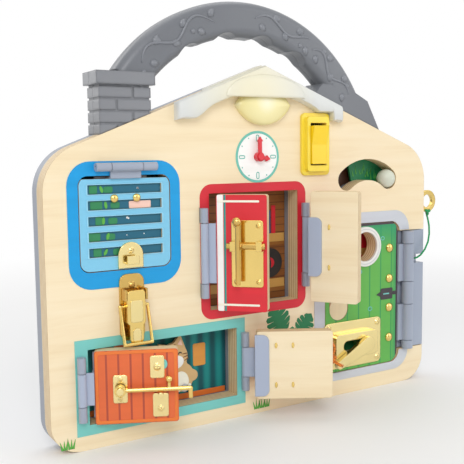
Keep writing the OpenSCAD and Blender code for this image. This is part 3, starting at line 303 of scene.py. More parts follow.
# ---------- meshes
def mesh_piece(name, verts, faces, mat, body, slot, smooth=True, sharp=None, scale=MM):
    """A mesh that rides on one body, in units of scale; edges from sharp degrees on stay sharp."""
    me = bpy.data.meshes.new(name)
    me.from_pydata([Vector(v) * scale for v in verts], [], faces)
    me.validate()
    me.materials.append(MATS[mat])
    ob = new_object(name, me)
    if smooth:
        me.shade_smooth()
    if sharp:
        me.set_sharp_from_angle(angle=math.radians(sharp))
    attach(ob, body)
    return ob


def skin(faces, base, rings, n, loop=False, last_cap=True):
    """Joins rings of n points each, from point base on; the ends get caps unless the rings form a loop."""
    for i in range(rings if loop else rings - 1):
        a, b = base + i * n, base + (i + 1) % rings * n
        faces += [(a + k, a + (k + 1) % n, b + (k + 1) % n, b + k) for k in range(n)]
    if not loop:
        faces.append([base + k for k in range(n)][::-1])
        if last_cap:
            faces.append([base + (rings - 1) * n + k for k in range(n)])


class Sheet:
    """Thin closed plates in front views, collected in one mesh that rides on one body.
    place is a matrix in metres for a door that stands open; y points away from the viewer."""

    def __init__(self, name, mat, body="board", slot="wood_panel", place=None):
        self.name, self.rides, self.place = name, (mat, body, slot), place or Matrix.Identity(4)
        self.verts, self.faces = [], []

    def add(self, depth, *loops):
        """A plate between two y values: its outline first, then its holes."""
        flat = [p for loop in loops for p in loop]
        base, n = len(self.verts), len(flat)
        self.verts += [self.place @ Vector((x * MM, y * MM, z * MM)) for y in depth for x, z in flat]
        for t in tessellate_polygon([[Vector((x, z, 0)) for x, z in loop] for loop in loops]):
            a, b, c = (flat[i] for i in t)
            ccw = (b[0] - a[0]) * (c[1] - a[1]) - (b[1] - a[1]) * (c[0] - a[0]) > 0
            f = t if ccw else t[::-1]
            self.faces += [[base + i for i in f], [base + n + i for i in f[::-1]]]
        start = base
        for k, loop in enumerate(loops):
            m = len(loop)
            area = sum(loop[i - 1][0] * loop[i][1] - loop[i][0] * loop[i - 1][1] for i in range(m))
            for i in range(m):
                a, b = start + i, start + (i + 1) % m
                if (area > 0) != (k == 0):
                    a, b = b, a
                self.faces.append([a, a + n, b + n, b])
            start += m

    def done(self):
        return mesh_piece(self.name, self.verts, self.faces, *self.rides, smooth=False, scale=1)


def print_on(name, mat, depth, *shapes, **where):
    """A sheet of shapes at one depth; a shape is an outline, or a tuple of an outline and its holes."""
    sheet = Sheet(name, mat, **where)
    for shape in shapes:
        sheet.add(depth, *(shape if isinstance(shape, tuple) else (shape,)))
    return sheet.done()


def tube(name, pts, r, mat, body, slot, loop=False, n=10):
    """A round bar along points; r may be one radius per point."""
    path = [Vector(p) for p in pts]
    count = len(path)
    radii = r if isinstance(r, list) else [r] * count
    verts, faces, side = [], [], None
    for i, p in enumerate(path):
        a = path[i - 1] if (i or loop) else path[0]
        b = path[(i + 1) % count] if (i < count - 1 or loop) else path[-1]
        d = (b - a).normalized()
        if side is None:
            side = Vector(Y if abs(d.y) < 0.9 else X)
        side = (side - d * side.dot(d)).normalized()
        other = d.cross(side)
        for k in range(n):
            t = 2 * math.pi * k / n
            verts.append(p + (side * math.cos(t) + other * math.sin(t)) * radii[i])
    skin(faces, 0, count, n, loop)
    return mesh_piece(name, verts, faces, mat, body, slot)


# ---------- cords
CHAIN_KNOT, LOOP_X, LOOP_Y, LOOP_Z = (61.6, -10.4, 36.2), 55.5, -9.6, 44.5
noose = [(x, LOOP_Y, z) for x, z in arc(LOOP_X, LOOP_Z, 9.2, -40, 260, 15, 7.2)]
chain_path = [(70.6, -13.1, 29.4), (68.4, -13.1, 30.4), (66.0, -13.0, 31.8), (63.6, -12.0, 33.8), CHAIN_KNOT,
              *noose, (59.9, -10.0, 36.7)]
key_path = [(166, 8.9, 111), (166, 5, 111), (166, 2, 111), (166.6, -1, 112), (168.6, -3.6, 114.5), (172, -5.2, 119.5),
            (176, -5, 126), (179.4, -3, 133), (182.6, 0.5, 140), (184.4, 4, 146), (185, 6, 149.5), (185, 6.7, 151.6)]


def cord_piece(name, pts, r, body, node, slot):
    ob = tube(name, pts, r, slot, body, slot, n=12)
    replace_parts(ob, node)
    return ob


def knot(name, centre, r, body, slot, n=36):
    """A small overhand knot: a trefoil of cord around its centre."""
    pts = []
    for t in (2 * math.pi * i / n for i in range(n)):
        pts.append((centre[0] + r * 0.55 * (math.sin(t) + 0.9 * math.sin(2 * t)),
                    centre[1] - r * 0.45 * math.sin(3 * t),
                    centre[2] + r * 0.55 * (math.cos(t) - 0.9 * math.cos(2 * t))))
    return tube(name, pts, r * 0.42, slot, body, slot, loop=True)


chain_cord = cord_piece("chain_cord_loop", chain_path, 1.3, "chain", "chain_cord", "orange_cord")
chain_knot = knot("chain_cord_knot", CHAIN_KNOT, 3.0, "chain", "orange_cord")
key_cord = cord_piece("key_cord_line", key_path, 0.8, "key", "key_cord", "green_cord")
key_knot = knot("key_cord_knot", (185, 5.2, 152.2), 2.4, "key", "green_cord")

# ---------- materials of the CAD nodes
# Small doors: x of the hinge and the angle at which each stands open
HINGE_Y = -3.4
HINGES = {"closet_left": (-54, -44), "closet_right": (40, 124), "kennel_left": (-153, -25), "kennel_right": (-19, 150)}
AXIS = {door: Vector((x, HINGE_Y, 0)) * MM for door, (x, angle) in HINGES.items()}
OPEN = {door: Matrix.Translation(AXIS[door]) @ Matrix.Rotation(math.radians(angle), 4, "Z")
        @ Matrix.Translation(-AXIS[door]) for door, (x, angle) in HINGES.items()}
CHIMNEY_TOP, CHIMNEY_SIDE = 0.2651, -0.04


def lens_mat():
    """Brighter towards the bulb, greyer at the rim."""
    g = Graph("lamp_lens_glow", 0.25, coat=0.3)
    glow = g.ramp(g.distance((0, -0.006, 0.246), 0.028), (0.0, (243, 240, 214)), (0.35, (239, 229, 172)),
                  (0.8, (230, 217, 152)), (1.0, (212, 209, 184)))
    g.color(glow)
    g.put(g.bsdf.inputs["Emission Color"], glow)
    g.bsdf.inputs["Emission Strength"].default_value = 0.05
    g.bump(g.noise(90, 2), 0.05, 0.0003)


def handle_mat():
    """Moulded grey of the handle, a little paler on the chimney at its left foot."""
    g = Graph("handle_grey", 0.36, coat=0.15)
    n = g.noise(9, 3)
    arch = g.ramp(n, (0.3, (107, 110, 116)), (0.7, (116, 119, 125)))
    stack = g.ramp(n, (0.3, (127, 129, 134)), (0.7, (137, 139, 144)))
    low = g.below(g.dot(g.pos, Z), CHIMNEY_TOP, 0.0001)
    left = g.below(g.dot(g.pos, X), CHIMNEY_SIDE, 0.0001)
    g.color(g.mix(g.times(low, left), arch, stack))
    g.moulded(0.36, 0.0024)


def canopy_mat():
    """Milky white, with the lamp's glow painted in: warmer near the lamp."""
    g = Graph("canopy_white", 0.35, coat=0.25)
    # Painted lamp glow: warm near the lamp, fading to the plastic's cooler white-grey further off
    lamp_glow_paint = g.ramp(g.distance((-0.012, -0.006, 0.25), 0.07), (0.15, (238, 231, 200)), (0.85, (219, 221, 218)))
    g.color(g.mix(g.times(g.noise(14, 3), 0.12), lamp_glow_paint, (214, 216, 218)))
    g.rough(g.noise(60, 3), 0.3, 0.42)
    g.bump(g.noise(500, 2), 0.05, 0.0001)


def cards_mat():
    """Printed cards behind the openings: brown boards in the closet, curtains in the kennel."""
    g = Graph("room_cards", 0.6)
    x, z = g.dot(g.pos, X), g.dot(g.pos, Z)
    n = g.noise(50, 5, 0.6, (0.2, 1, 1.6))
    brown = g.ramp(n, (0.25, (122, 70, 26)), (0.75, (160, 100, 44)))
    rows = g.math("FRACT", g.math("DIVIDE", z, 0.0062))
    brown = g.mix(g.above(rows, 0.9, 0.05), brown, (92, 52, 22))
    curtain = g.ramp(g.ripple(x, 0.011), (0.1, (0, 84, 92)), (0.6, (0, 124, 128)), (0.95, (20, 142, 140)))
    hall = g.ramp(n, (0.3, (120, 128, 134)), (0.7, (140, 147, 152)))
    window = g.ramp(n, (0.3, (16, 84, 104)), (0.7, (24, 98, 118)))
    col = g.mix(g.below(x, -0.070), brown, window)
    col = g.mix(g.below(z, 0.080), col, curtain)
    g.color(g.mix(g.above(x, 0.045), col, hall))
    g.bump(n, 0.05, 0.0001)


def ball_plate_mat():
    """Green board with a plain wooden ball on its front."""
    g = Graph("ball_plate_paint", 0.45)
    n = g.noise(60, 4)
    green = g.ramp(n, (0.3, (0, 110, 66)), (0.7, (16, 132, 80)))
    ball = g.ramp(g.noise(45, 5, 0.6, (0.3, 1, 2)), (0.25, (196, 202, 186)), (0.75, (222, 226, 208)))
    g.color(g.mix(g.above(g.dot(g.pos, Y), 0.0125, 0.0005), ball, green))
    g.bump(n, 0.06, 0.0002)


def planks(line, width, offset, dark, extra=None):
    """Pattern of upright boards with thin dark joints, drawn along u."""
    def pattern(g, base, u, z):
        cell = g.math("FRACT", g.math("DIVIDE", g.math("SUBTRACT", u, offset), width))
        joint = g.above(g.math("ABSOLUTE", g.math("SUBTRACT", cell, 0.5)), 0.5 - line / width, 0.012)
        base = g.mix(g.times(g.noise(22, 4, 0.6, (3, 3, 0.25)), 0.35), base, dark)
        base = g.mix(joint, base, dark)
        return extra(g, base, u, z) if extra else base
    return pattern


def door_fade(g, base, u, z):
    """Blue-green towards the top of the front door and along its hinge side, with a dark rim."""
    for value, start, length, share, colour in (
            (z, 0.118, 0.03, 0.9, (0, 146, 104)), (u, 0.136, 0.008, 0.75, (0, 150, 110))):
        fade = g.math("DIVIDE", g.math("SUBTRACT", value, start), length, clamp=True)
        base = g.mix(g.times(fade, share), base, colour)
    return g.mix(g.math("ADD", g.above(u, 0.1418), g.above(z, 0.1440), clamp=True), base, (66, 52, 62))


def red_door(g, base, u, z):
    """A white and a green stripe near the hinge side."""
    base = g.mix(g.band(u, -0.0452, -0.0405), base, (252, 250, 246))
    return g.mix(g.band(u, -0.0400, -0.0385), base, (0, 150, 140))


def open_door(door, face, pattern=None):
    """Wood of a door that stands open; the pattern's u is measured as on the closed door."""
    along, normal = ((OPEN[door].to_3x3() @ Vector(v)).normalized() for v in (X, FRONT))
    shift = HINGES[door][0] * MM - AXIS[door].dot(along)
    moved = pattern and (lambda g, base, u, z: pattern(g, base, g.math("ADD", u, shift), z))
    wood(door + "_wood", face, moved, normal, along)


for make in (lens_mat, handle_mat, canopy_mat, cards_mat, ball_plate_mat):
    make()
RED, ORANGE, ORANGE_DARK = (222, 40, 52), (236, 112, 56), (176, 74, 52)
open_door("closet_left", RED, red_door)
open_door("closet_right", RED)
open_door("kennel_left", ORANGE, planks(0.0007, 0.0085, -0.145, ORANGE_DARK))
open_door("kennel_right", ORANGE, planks(0.0007, 0.0085, -0.084, ORANGE_DARK))
wood("panel_wood")
wood("front_door_wood", (104, 184, 76), planks(0.0006, 0.0125, 0.0615, (52, 150, 84), door_fade))
wood("shutter_wood", (128, 200, 232))
wood("cat_wood", (214, 178, 124))
wood("cover_wood", (240, 222, 180), ply=False, stretch=(1.6, 1, 0.1))

for mat, nodes in {
    **{door + "_wood": door + "_door" for door in HINGES},
    "panel_wood": "front_panel", "front_door_wood": "front_door", "shutter_wood": "shutter", "cat_wood": "cat_figure",
    "cover_wood": "keyhole_cover", "ball_plate_paint": "greeting_ball_plate",
    "grey_shell": "back_shell", "handle_grey": "handle_front_shell handle_rear_shell", "canopy_white": "roof_canopy",
    "lamp_lens_glow": "lamp_lens", "board_green": "lamp_board", "grey_plastic": "battery_cover",
    "yellow_plastic": "switch_plate", "yellow_deep": "switch_rocker", "stop_grey": "door_stops",
    "dark_grey": "chain_keeper", "white_plastic": "porthole_ring", "room_cards": "room_backdrops",
    "steel": "shell_screws battery_cells battery_cover_screw small_hinge_pins cat_pivot_pin front_door_pin",
    "barrel_grey": "small_hinge_posts shutter_leaf front_door_leaf front_door_column",
    "leaf_blue": "closet_left_leaf closet_right_leaf kennel_left_leaf kennel_right_leaf",
    "brass": "closet_bolt_case closet_bolt_staple kennel_hook kennel_hook_eye shutter_screws latch_lever latch_bail "
             "front_door_screws door_key",
    "brass_pale": "kennel_hook_plates latch_catch chain_plate chain_tab",
    "brass_dark": "closet_bolt latch_base lock_cylinder",
    "red_plastic": "clock_hands_pin clock_hour_hand clock_minute_hand",
}.items():
    for node in nodes.split():
        if not NODES[node].material_slots:
            NODES[node].data.materials.append(MATS[mat])
        for s in NODES[node].material_slots:
            s.material = MATS[mat]

# ---------- prints on the panel's face
FACE = (-0.2, 0.06)
CLOSET_X0, CLOSET_X1, KENNEL_X0, KENNEL_X1 = -48, 34, -147, -25
WINDOW_X, WINDOW_Z = -115.5, 159.5
CLOCK = (-4, 204.5)
POT_X = 27
DOORWAY, HINGE_X, HINGE_GAP = (104, 84), 140, (29, 139)

print_on("closet_border_print", "red", FACE, (rrect(-7, 133, 98, 103.2, 10), rect(CLOSET_X0, 88.5, CLOSET_X1, 177.5)))
print_on("kennel_border_print", "teal", FACE, (rect(-156.5, 10.6, -17.4, 79.4), rect(KENNEL_X0, 18, KENNEL_X1, 72)))
print_on("window_border_print", "blue", FACE,
         (rrect(WINDOW_X, 158.6, 86, 89, 17), rrect(WINDOW_X, WINDOW_Z, 70, 67, 7)))


def doorway_edge(x, *frame_shape):
    """One edge of the band around the doorway, open on its right where the hinge stands."""
    run = [p for p in rrect(*frame_shape) if p[0] <= HINGE_X or not HINGE_GAP[0] < p[1] < HINGE_GAP[1]]
    run.sort(key=lambda p: math.atan2(p[1] - DOORWAY[1], p[0] - DOORWAY[0]) % (2 * math.pi))
    return [(x, 138.2)] + run + [(x, 29.8)]


print_on("doorway_border_print", "arch_grey", FACE, doorway_edge(157, 104, 84.5, 106, 143, 17, 10)
         + doorway_edge(146, 104, 83.25, 84, 126.5, 10, 8)[::-1])

print_on("clock_face_print", "white", FACE, ring(*CLOCK, 18.1, 1.9, 64, 24))
print_on("clock_ring_print", "clock_teal", FACE, ring(*CLOCK, 20, 18.1, 72, 64))
quarter = (rrect(0, 0, 2.9, 5.6, 1.4, 6), rrect(0, 0, 1.5, 4.2, 0.7, 6))
hour = (disc(0, 0, 0.55, 12),)
ticks = []
for k in range(12):
    centre = polar(*CLOCK, 16.4 if k % 3 else 14.4, 90 - 30 * k)
    ticks.append(tuple(turned(loop, *centre, -30 * k) for loop in (hour if k % 3 else quarter)))
print_on("clock_tick_print", "clock_teal", (-0.3, -0.15), *ticks)


# Potted plant between the kennel and the door
def split_leaf(size, slits=5):
    """Outline of a broad leaf with slits along both sides, its stalk at the origin, tip towards +z."""
    def half_width(t):
        return 0.46 * math.sin(math.pi * (0.12 + 0.88 * t)) ** 0.7

    side = []
    for i in range(slits):
        t0, t1 = i / slits, (i + 0.72) / slits
        mid = (t0 + t1) / 2
        side += [(half_width(t0) * 0.98, t0 + 0.01), (half_width(mid) * 1.08, mid + 0.05),
                 (half_width(t1), t1 + 0.03), (0.13, (i + 0.86) / slits - 0.05)]
    side.pop()
    outline = [(0, 0)] + side + [(0, 1.06)] + [(-x, z) for x, z in side[::-1]]
    return [(x * size, z * size) for x, z in outline]


# Leaves and stems that cross lie at steps of depth. A leaf is its step, place, length and turn
for name, mat, leaves in (
        ("plant_leaf_print", "leaf", ((0, -7, 63, 24, 28), (1, 8, 58, 20, -38), (4, 12, 46, 13, -70))),
        ("plant_leaf_mid_print", "leaf_mid", ((2, 0, 44, 21, -4), (3, -10, 46, 15, 62)))):
    plant = Sheet(name, mat)
    for level, dx, z, size, turn in leaves:
        plant.add((-0.18 - 0.02 * level, 0.06 - 0.01 * level), turned(split_leaf(size), POT_X + dx, z, turn))
    plant.done()
stems = Sheet("plant_stem_print", "lime")
for i, (x0, x1, rise) in enumerate(((-1, -7, 26), (1, 8, 21), (0, 0, 8), (-1, -10, 9), (1, 12, 9))):
    long, deg = math.hypot(x1 - x0, rise), math.degrees(math.atan2(rise, x1 - x0)) - 90
    stems.add((-0.3 - 0.01 * i, -0.15), turned([(-0.9, 0), (0.9, 0), (0.6, long), (-0.6, long)], POT_X + x0, 38, deg))
stems.done()
print_on("plant_pot_print", "pot", (-0.34, 0.06), rrect(POT_X, 37, 22, 4.4, 1),
         [(POT_X - 7.2, 18), (POT_X + 7.2, 18), (POT_X + 9.6, 35.5), (POT_X - 9.6, 35.5)])
print_on("plant_pot_shade_print", "pot_shade", (-0.42, -0.28), rect(POT_X - 9.4, 34, POT_X + 9.4, 34.8),
         [(POT_X + 3, 18), (POT_X + 7.2, 18), (POT_X + 9.4, 34.8), (POT_X + 5, 34.8)])

# Grass tufts in places that the doors leave bare
tufts = []
seed(4)
for x in (-166, -161, -7, -2, 3, 44, 49):
    for k in (-1, 0, 1):
        lean = 14 * k + uniform(-4, 4)
        blade = [(-0.9, 0), (0.9, 0), (0.1, 7 + uniform(-1, 2)), (-0.1, 7)]
        tufts.append(turned(blade, x + 1.3 * k, 3.4, -lean))
print_on("grass_print", "lime", FACE, *tufts)

# ---------- rooms: prints on the cards
CARD = (19.25, 19.62)
UPPER_SHELF, LOWER_SHELF = 141.6, 103.8
DISC_BACK, DISC_FRONT = (19.5, 117.2), (8, 116.4)

# Books: left side, width, height, colour
upper_books = ((-29, 4.5, 20, "mid"), (-23.5, 3.2, 17, "lime"), (-19, 3.4, 21, "orange"), (-14.6, 5, 19, "deep"),
               (-8, 2.6, 16, "red"), (-2, 5.6, 22, "deep"), (4.4, 3.6, 24, "lime"), (8.8, 3.4, 21, "teal"),
               (13, 3.4, 24, "orange"), (17.4, 3, 19, "navy"), (21.4, 4, 23, "red"))
lower_books = [(-30 + 3.1 * i, 1.9, 25 - (i * 7 % 5), c) for i, c in enumerate(
    ("teal", "red", "navy", "lime", "orange", "red", "deep", "black"))]
print_on("closet_shelf_print", "tan", (19.0, 19.62), rect(CLOSET_X0, 134.6, CLOSET_X1, UPPER_SHELF),
         rect(CLOSET_X0, 96.6, CLOSET_X1, LOWER_SHELF))
print_on("closet_shelf_shade_print", "brown", (19.1, 19.62), rect(CLOSET_X0, 131.6, CLOSET_X1, 134.6),
         rect(CLOSET_X0, 93, CLOSET_X1, 96.6))
by_colour = {}
for shelf, corner, books in ((UPPER_SHELF, 0.5, upper_books), (LOWER_SHELF, 0.3, lower_books)):
    for x, w, h, c in books:
        by_colour.setdefault(c, []).append(rrect(x + w / 2, shelf + h / 2, w, h, corner, 2))
for c, outlines in sorted(by_colour.items()):
    print_on("closet_books_" + c, c, (18.85, 19.2), *outlines)
print_on("closet_book_bands", "cream", (18.7, 18.86), rect(-28.9, 156, -24.6, 158), rect(-1.8, 157, 3.4, 159),
         rect(-1.8, 146, 3.4, 147.4), rect(4.6, 150, 7.8, 159), rect(13.2, 160, 16.2, 161.4))
print_on("closet_disc_back", "black", (18.8, 19.2), ring(*DISC_BACK, 12.2, 1))
print_on("closet_disc_back_label", "red", (18.75, 19.1), ring(*DISC_BACK, 4.4, 1, 32))
print_on("closet_disc_front", "black", (18.3, 18.7), ring(*DISC_FRONT, 12.6, 1))
print_on("closet_disc_grooves", "dark_grey", (18.2, 18.32),
         *[ring(*DISC_FRONT, r + 0.18, r - 0.18, 56, 56) for r in (6.6, 8.6, 10.6)])
print_on("closet_disc_front_label", "teal", (18.15, 18.6), ring(*DISC_FRONT, 4.8, 1, 32))

# Kennel: an orange hanging, a round bed with a cushion
BED = (-92, 24)
star = [polar(-112, 59, 2.1 if i % 2 else 5, 90 - 36 * i) for i in range(10)]
print_on("kennel_hanging_print", "orange", CARD, rrect(-112, 58, 15, 24, 1.5))
print_on("kennel_hanging_star", "teal", (19.1, 19.3), star[::-1])
print_on("kennel_bed_print", "brown", (19.0, 19.62), arc(*BED, 34, 0, 180, 30, 30))
print_on("kennel_bed_inner_print", "tan", (18.85, 19.1), arc(*BED, 27, 0, 180, 30, 22))
print_on("kennel_pillow_print", "deep", (18.7, 18.95), disc(-88, 32, 17, 40, 9))
print_on("kennel_pillow_leaf", "teal", (18.55, 18.72), disc(-92, 33, 4.2, 24, 1.6), disc(-84, 31, 4.2, 24, 1.6))
print_on("kennel_floor_print", "orange", (18.9, 19.3), rect(KENNEL_X0, 16.6, KENNEL_X1, 21))
print_on("kennel_side_panel", "pot", CARD, rrect(-48, 50, 11, 18, 1.5))

# Hall behind the front door: a red parcel with a tan band that shows through the porthole
print_on("hall_parcel_print", "red", CARD, rrect(108, 118, 44, 40, 3))
print_on("hall_parcel_band", "tan", (19.1, 19.3),
         [(104, 98), (111, 98), (111, 116), (130, 116), (130, 122), (111, 122), (111, 138), (104, 138),
          (104, 122), (86, 122), (86, 116), (104, 116)])

# Window card behind the shutter: hills under a round moon
HILL_Z = 126
print_on("window_hill_print", "leaf", CARD, arc(-128, HILL_Z, 22.5, 180, 0, 24, 16))
print_on("window_hill_front_print", "leaf_mid", (19.1, 19.5), arc(-104, HILL_Z, 22, 180, 0, 24, 11))
print_on("window_moon_print", "cream", CARD, disc(-98, 178, 6, 32))
print_on("window_star_print", "white", CARD, *[disc(x, z, r, 12) for x, z, r in (
    (-140, 182, 1), (-128, 170, 0.8), (-118, 184, 0.9), (-110, 164, 0.8), (-88, 162, 1))])

# ---------- shutter and latch
on_shutter = partial(print_on, body="window_shutter", slot="blue_wood")
on_lever = partial(print_on, body="lever", slot="brass")
SLAT_RISE, SLAT_PITCH = 24, 11
SLATS = [WINDOW_Z + SLAT_RISE - SLAT_PITCH * i for i in range(5)]
seed(11)
specks = [disc(-112 + uniform(-3, 18), z + uniform(-1.6, 1.6), uniform(0.4, 0.8), 12)
          for z in SLATS for k in range(2)]
on_shutter("shutter_slat_print", "slat_teal", (1.35, 1.66), *[rect(-143.3, z - 3.05, -87.7, z + 3.05) for z in SLATS])
on_shutter("shutter_leaf_print", "leaf_mid", (1.2, 1.4), *[leaf for i, z in enumerate(SLATS) for leaf in (
    rrect(-139 + (i % 3) * 2, z, 6 + i % 2 * 3, 5.8, 1.2, 4), rrect(-128 + (i * 5 % 7), z - 0.3, 7, 4.6, 1.6, 4))])
on_shutter("shutter_lime_print", "lime", (1.1, 1.22),
           *[turned(disc(0, 0, 1.2, 16, 2.6), -133 + (i * 3 % 5), z, 20 - 12 * i) for i, z in enumerate(SLATS)])
on_shutter("shutter_dot_print", "white", (1.2, 1.4), *specks)
on_shutter("shutter_pink_card", "pink", (1.15, 1.38), rrect(-104, SLATS[1] - 0.4, 17, 5.2, 0.8, 3))
on_shutter("shutter_slat_lips", "slat_light", (-0.25, 0.06),
           *[(rrect(WINDOW_X, z, 58.6, 8.0, 1.2, 4), rrect(WINDOW_X, z, 56.2, 6.6, 0.4, 3)) for z in SLATS])
on_lever("latch_lever_panel", "brass_pale", (-9.4, -8.96), rrect(-113, 97, 9.6, 16, 2))
on_lever("latch_lever_tongue", "brass_pale", (-9.3, -8.96), rrect(-113, 79.6, 6.6, 10.5, 3.2))

# ---------- front door
on_door = partial(print_on, body="entrance_door", slot="green_wood")
DOOR_FACE = (-0.22, 0.06)
on_door("front_door_knot_print", "clock_teal", DOOR_FACE,
        *[(disc(x, z, r, 24, r * 0.85), disc(x, z, r * 0.62, 20, r * 0.5))
          for x, z, r in ((100, 104.5, 2.6), (112, 71, 2.4), (126, 132, 2.2), (86, 132, 2.0))])
on_door("front_door_hinge_print", "dark", DOOR_FACE, rrect(131, 82.5, 14, 10, 1.2, 3),
        rrect(140.4, 82.5, 4.6, 3.4, 0.8, 3), [(119, 82.5), (124.2, 80), (124.2, 85)])
on_door("front_door_hinge_print_line", "teal", (-0.32, -0.18), rrect(130.5, 82.5, 7, 1.2, 0.5, 3))
# A grey line on the white ring: painted shade of a groove
on_door("porthole_ring_groove", "arch_grey", (-2.55, -2.3), ring(105, 126.3, 15.3, 14.9, 64, 64), slot="white_plastic")
on_door("lock_recess_print", "recess_red", (3.3, 3.66), (rrect(77, 93.25, 19.6, 56.1, 9.75, 10), disc(77, 94, 7.9, 48)))
on_door("chain_slot_back", "leaf", (5.7, 6.05), rect(70.2, 36.2, 113.8, 50.8))


# ---------- small doors: leaf pins and prints
def door_print(door, name, mat, depth, *shapes, slot="brass"):
    """A print given on the closed door, which stands open."""
    print_on(f"{door}_{name}", mat, depth, *shapes, body=door, slot=slot, place=OPEN[door])


# Rows of leaf pins: middle height, distance from it, half length of a pin
CLOSET_PINS, KENNEL_PINS, PIN_R = (133, 16, 2.3), (45, 15.5, 2.2), 1.1
for door, xs, (z, reach, high) in (
        ("closet_right", (16.5,), CLOSET_PINS), ("closet_left", (-30.5,), CLOSET_PINS),
        ("kennel_right", (-42, -55), KENNEL_PINS), ("kennel_left", (-130, -117), KENNEL_PINS)):
    pins = [disc(x, z + s * reach, PIN_R, 16, high) for s in (-1, 1) for x in xs]
    door_print(door, "pins", "brass", (8.95, 9.5), *pins)
door_print("kennel_left", "frame", "orange", FACE,
           (rrect(-115.6, 45, 57.6, 52, 2), rrect(-115.6, 45, 53, 47.4, 1.5)), slot="orange_wood")
door_print("kennel_left", "dot", "teal", (-0.3, -0.1), disc(-96, 60.5, 2.2, 24, 3.4), slot="orange_wood")
door_print("closet_left", "handle_print", "cream", FACE, rrect(-29, 172, 32, 1.6, 0.6), rrect(-29, 94, 32, 1.6, 0.6),
           slot="red_wood")

# ---------- the cat's painted face
CAT_PIVOT, CAT_TILT, EYE = Vector((-66, 0, 28)), -16, (4.9, 26.6)
CAT = Matrix.Translation(CAT_PIVOT * MM) @ Matrix.Rotation(math.radians(CAT_TILT), 4, "Y")
on_cat = partial(print_on, body="cat", slot="plain_wood", place=CAT)
stripes = [turned([(-0.5, -2.6), (0.5, -2.6), (0, 2.6)], 0, 33.4, 180)]
for s in (-1, 1):
    for k in range(3):
        cheek = [(-1.9, -0.45), (1.9, -0.2), (1.9, 0.2), (-1.9, 0.45)]
        stripes.append(turned(cheek, s * 8.6, 20.5 + 2.4 * k, -s * 12 * (k - 1) + (180 if s > 0 else 0)))
    stripes.append(turned([(-0.5, -2.2), (0.5, -2.2), (0, 2.2)], s * 2.6, 33.6, -s * 8 + 180))
on_cat("cat_muzzle", "white", (11.8, 12.05), disc(0, 21.5, 6.4, 36, 5.0))
on_cat("cat_chest", "cream", (11.8, 12.05), disc(0, 6, 6.0, 32, 7.5))
on_cat("cat_nose", "cat_nose", (11.65, 11.85), disc(0, 23.6, 1.9, 20, 1.4))
on_cat("cat_eyes", "black", (11.65, 12.05),
       *[arc(s * EYE[0], EYE[1], 1.7, 0, 180, 10) + arc(s * EYE[0], EYE[1], 0.9, 180, 0, 10) for s in (-1, 1)])
on_cat("cat_stripes", "cat_stripe", (11.75, 12.05), *stripes)
on_cat("cat_ears", "pink", (11.8, 12.05), *[[(s * 8.9, 37.8), (s * 8.8, 32.2), (s * 4.9, 34.6)] for s in (-1, 1)])
on_cat("cat_paws", "cream", (11.8, 12.05), *[disc(s * 4.6, -0.1, 2.2, 20, 1.3) for s in (-1, 1)])

# ---------- ball's slot: a dark card of painted shade, grass on the green plate
PLATE_C = (108.5, 155.3)
herb = []
seed(7)
for k in range(16):
    deg = uniform(42, 100)
    root = polar(*PLATE_C, uniform(31, 37), deg)
    lean = uniform(-22, 22)
    herb.append(turned([(-0.55, 0), (0.55, 0), (0.1, uniform(5, 8)), (-0.1, 5)], *root, lean))
# A dark card behind the slot where its wall stands in shade: the charred wood's brown with painted shade
print_on("slot_shade_print", "burnt", (20.25, 20.62), arc(*PLATE_C, 49, 152, 28, 31) + arc(*PLATE_C, 26, 28, 152, 31),
         slot="printed_card")
print_on("ball_board_grass", "lime", (13.35, 13.66), *herb, body="greeting_ball", slot="plain_wood")

# ---------- canopy and lamp lens with their rounded edges
RIDGE, ROOF_SLOPE = 273, 68 / 175
LENS_C, LENS_R, ARCH_C, ARCH_CUT = 257.0, 28.0, 228.0, 30.0
SWITCH_X0, SWITCH_X1, SWITCH_TOP = 36.6, 65.4, 239.5


def roof(x):
    return RIDGE - abs(x) * ROOF_SLOPE


def canopy_low(x):
    """Lower edge of the canopy: a lobe near each end, the lens's arch in the middle and the switch plate's corner."""
    hem = roof(x) - 11.5 - 4.5 * math.exp(-((abs(x) - 60) / 9) ** 2) - 4 * math.exp(-(x / 21) ** 2)
    if abs(x) < ARCH_CUT:
        hem = max(hem, ARCH_C + math.sqrt(ARCH_CUT ** 2 - x * x))
    if SWITCH_X0 < x < SWITCH_X1:
        hem = max(hem, SWITCH_TOP)
    return hem


def canopy():
    half, soft, depth, steps = 76.0, 2.6, 8.0, 152
    verts, faces = [], []
    ends = [s * (half - d) for s in (-1, 1) for d in (0.4, 1.4)]
    cols = sorted(set([-half + 2 * half * i / steps for i in range(steps + 1)] + ends))
    for x in cols:
        end = min(soft, half - abs(x))
        fall = soft - math.sqrt(max(0.0, soft * soft - (soft - end) ** 2))
        low, top, face = canopy_low(x), roof(x) + 1, fall - depth
        r = min(soft, (top - low) / 2)
        shoulder = min(0, face + r)
        verts += [(x, 0.0, low), (x, shoulder, low), (x, face + 0.3 * r, low + 0.3 * r), (x, face, low + r),
                  (x, face, top - r), (x, face + 0.3 * r, top - 0.3 * r), (x, shoulder, top), (x, 0.0, top)]
    skin(faces, 0, len(cols), 8)
    # Lip that lies on the roof's edge
    base = len(verts)
    for x, t in ((-48, 0.5), (-46.5, 1.6), (0, 1.6), (46.5, 1.6), (48, 0.5)):
        verts += [(x, y, roof(x) + dz) for y, dz in ((-0.1, 0.1), (-0.1, t), (9.2, t), (9.9, t * 0.6), (9.9, 0.1))]
    skin(faces, base, 5, 5)
    ob = mesh_piece("canopy_moulding", verts, faces, "canopy_white", "board", "white_plastic", sharp=40)
    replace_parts(ob, "roof_canopy")


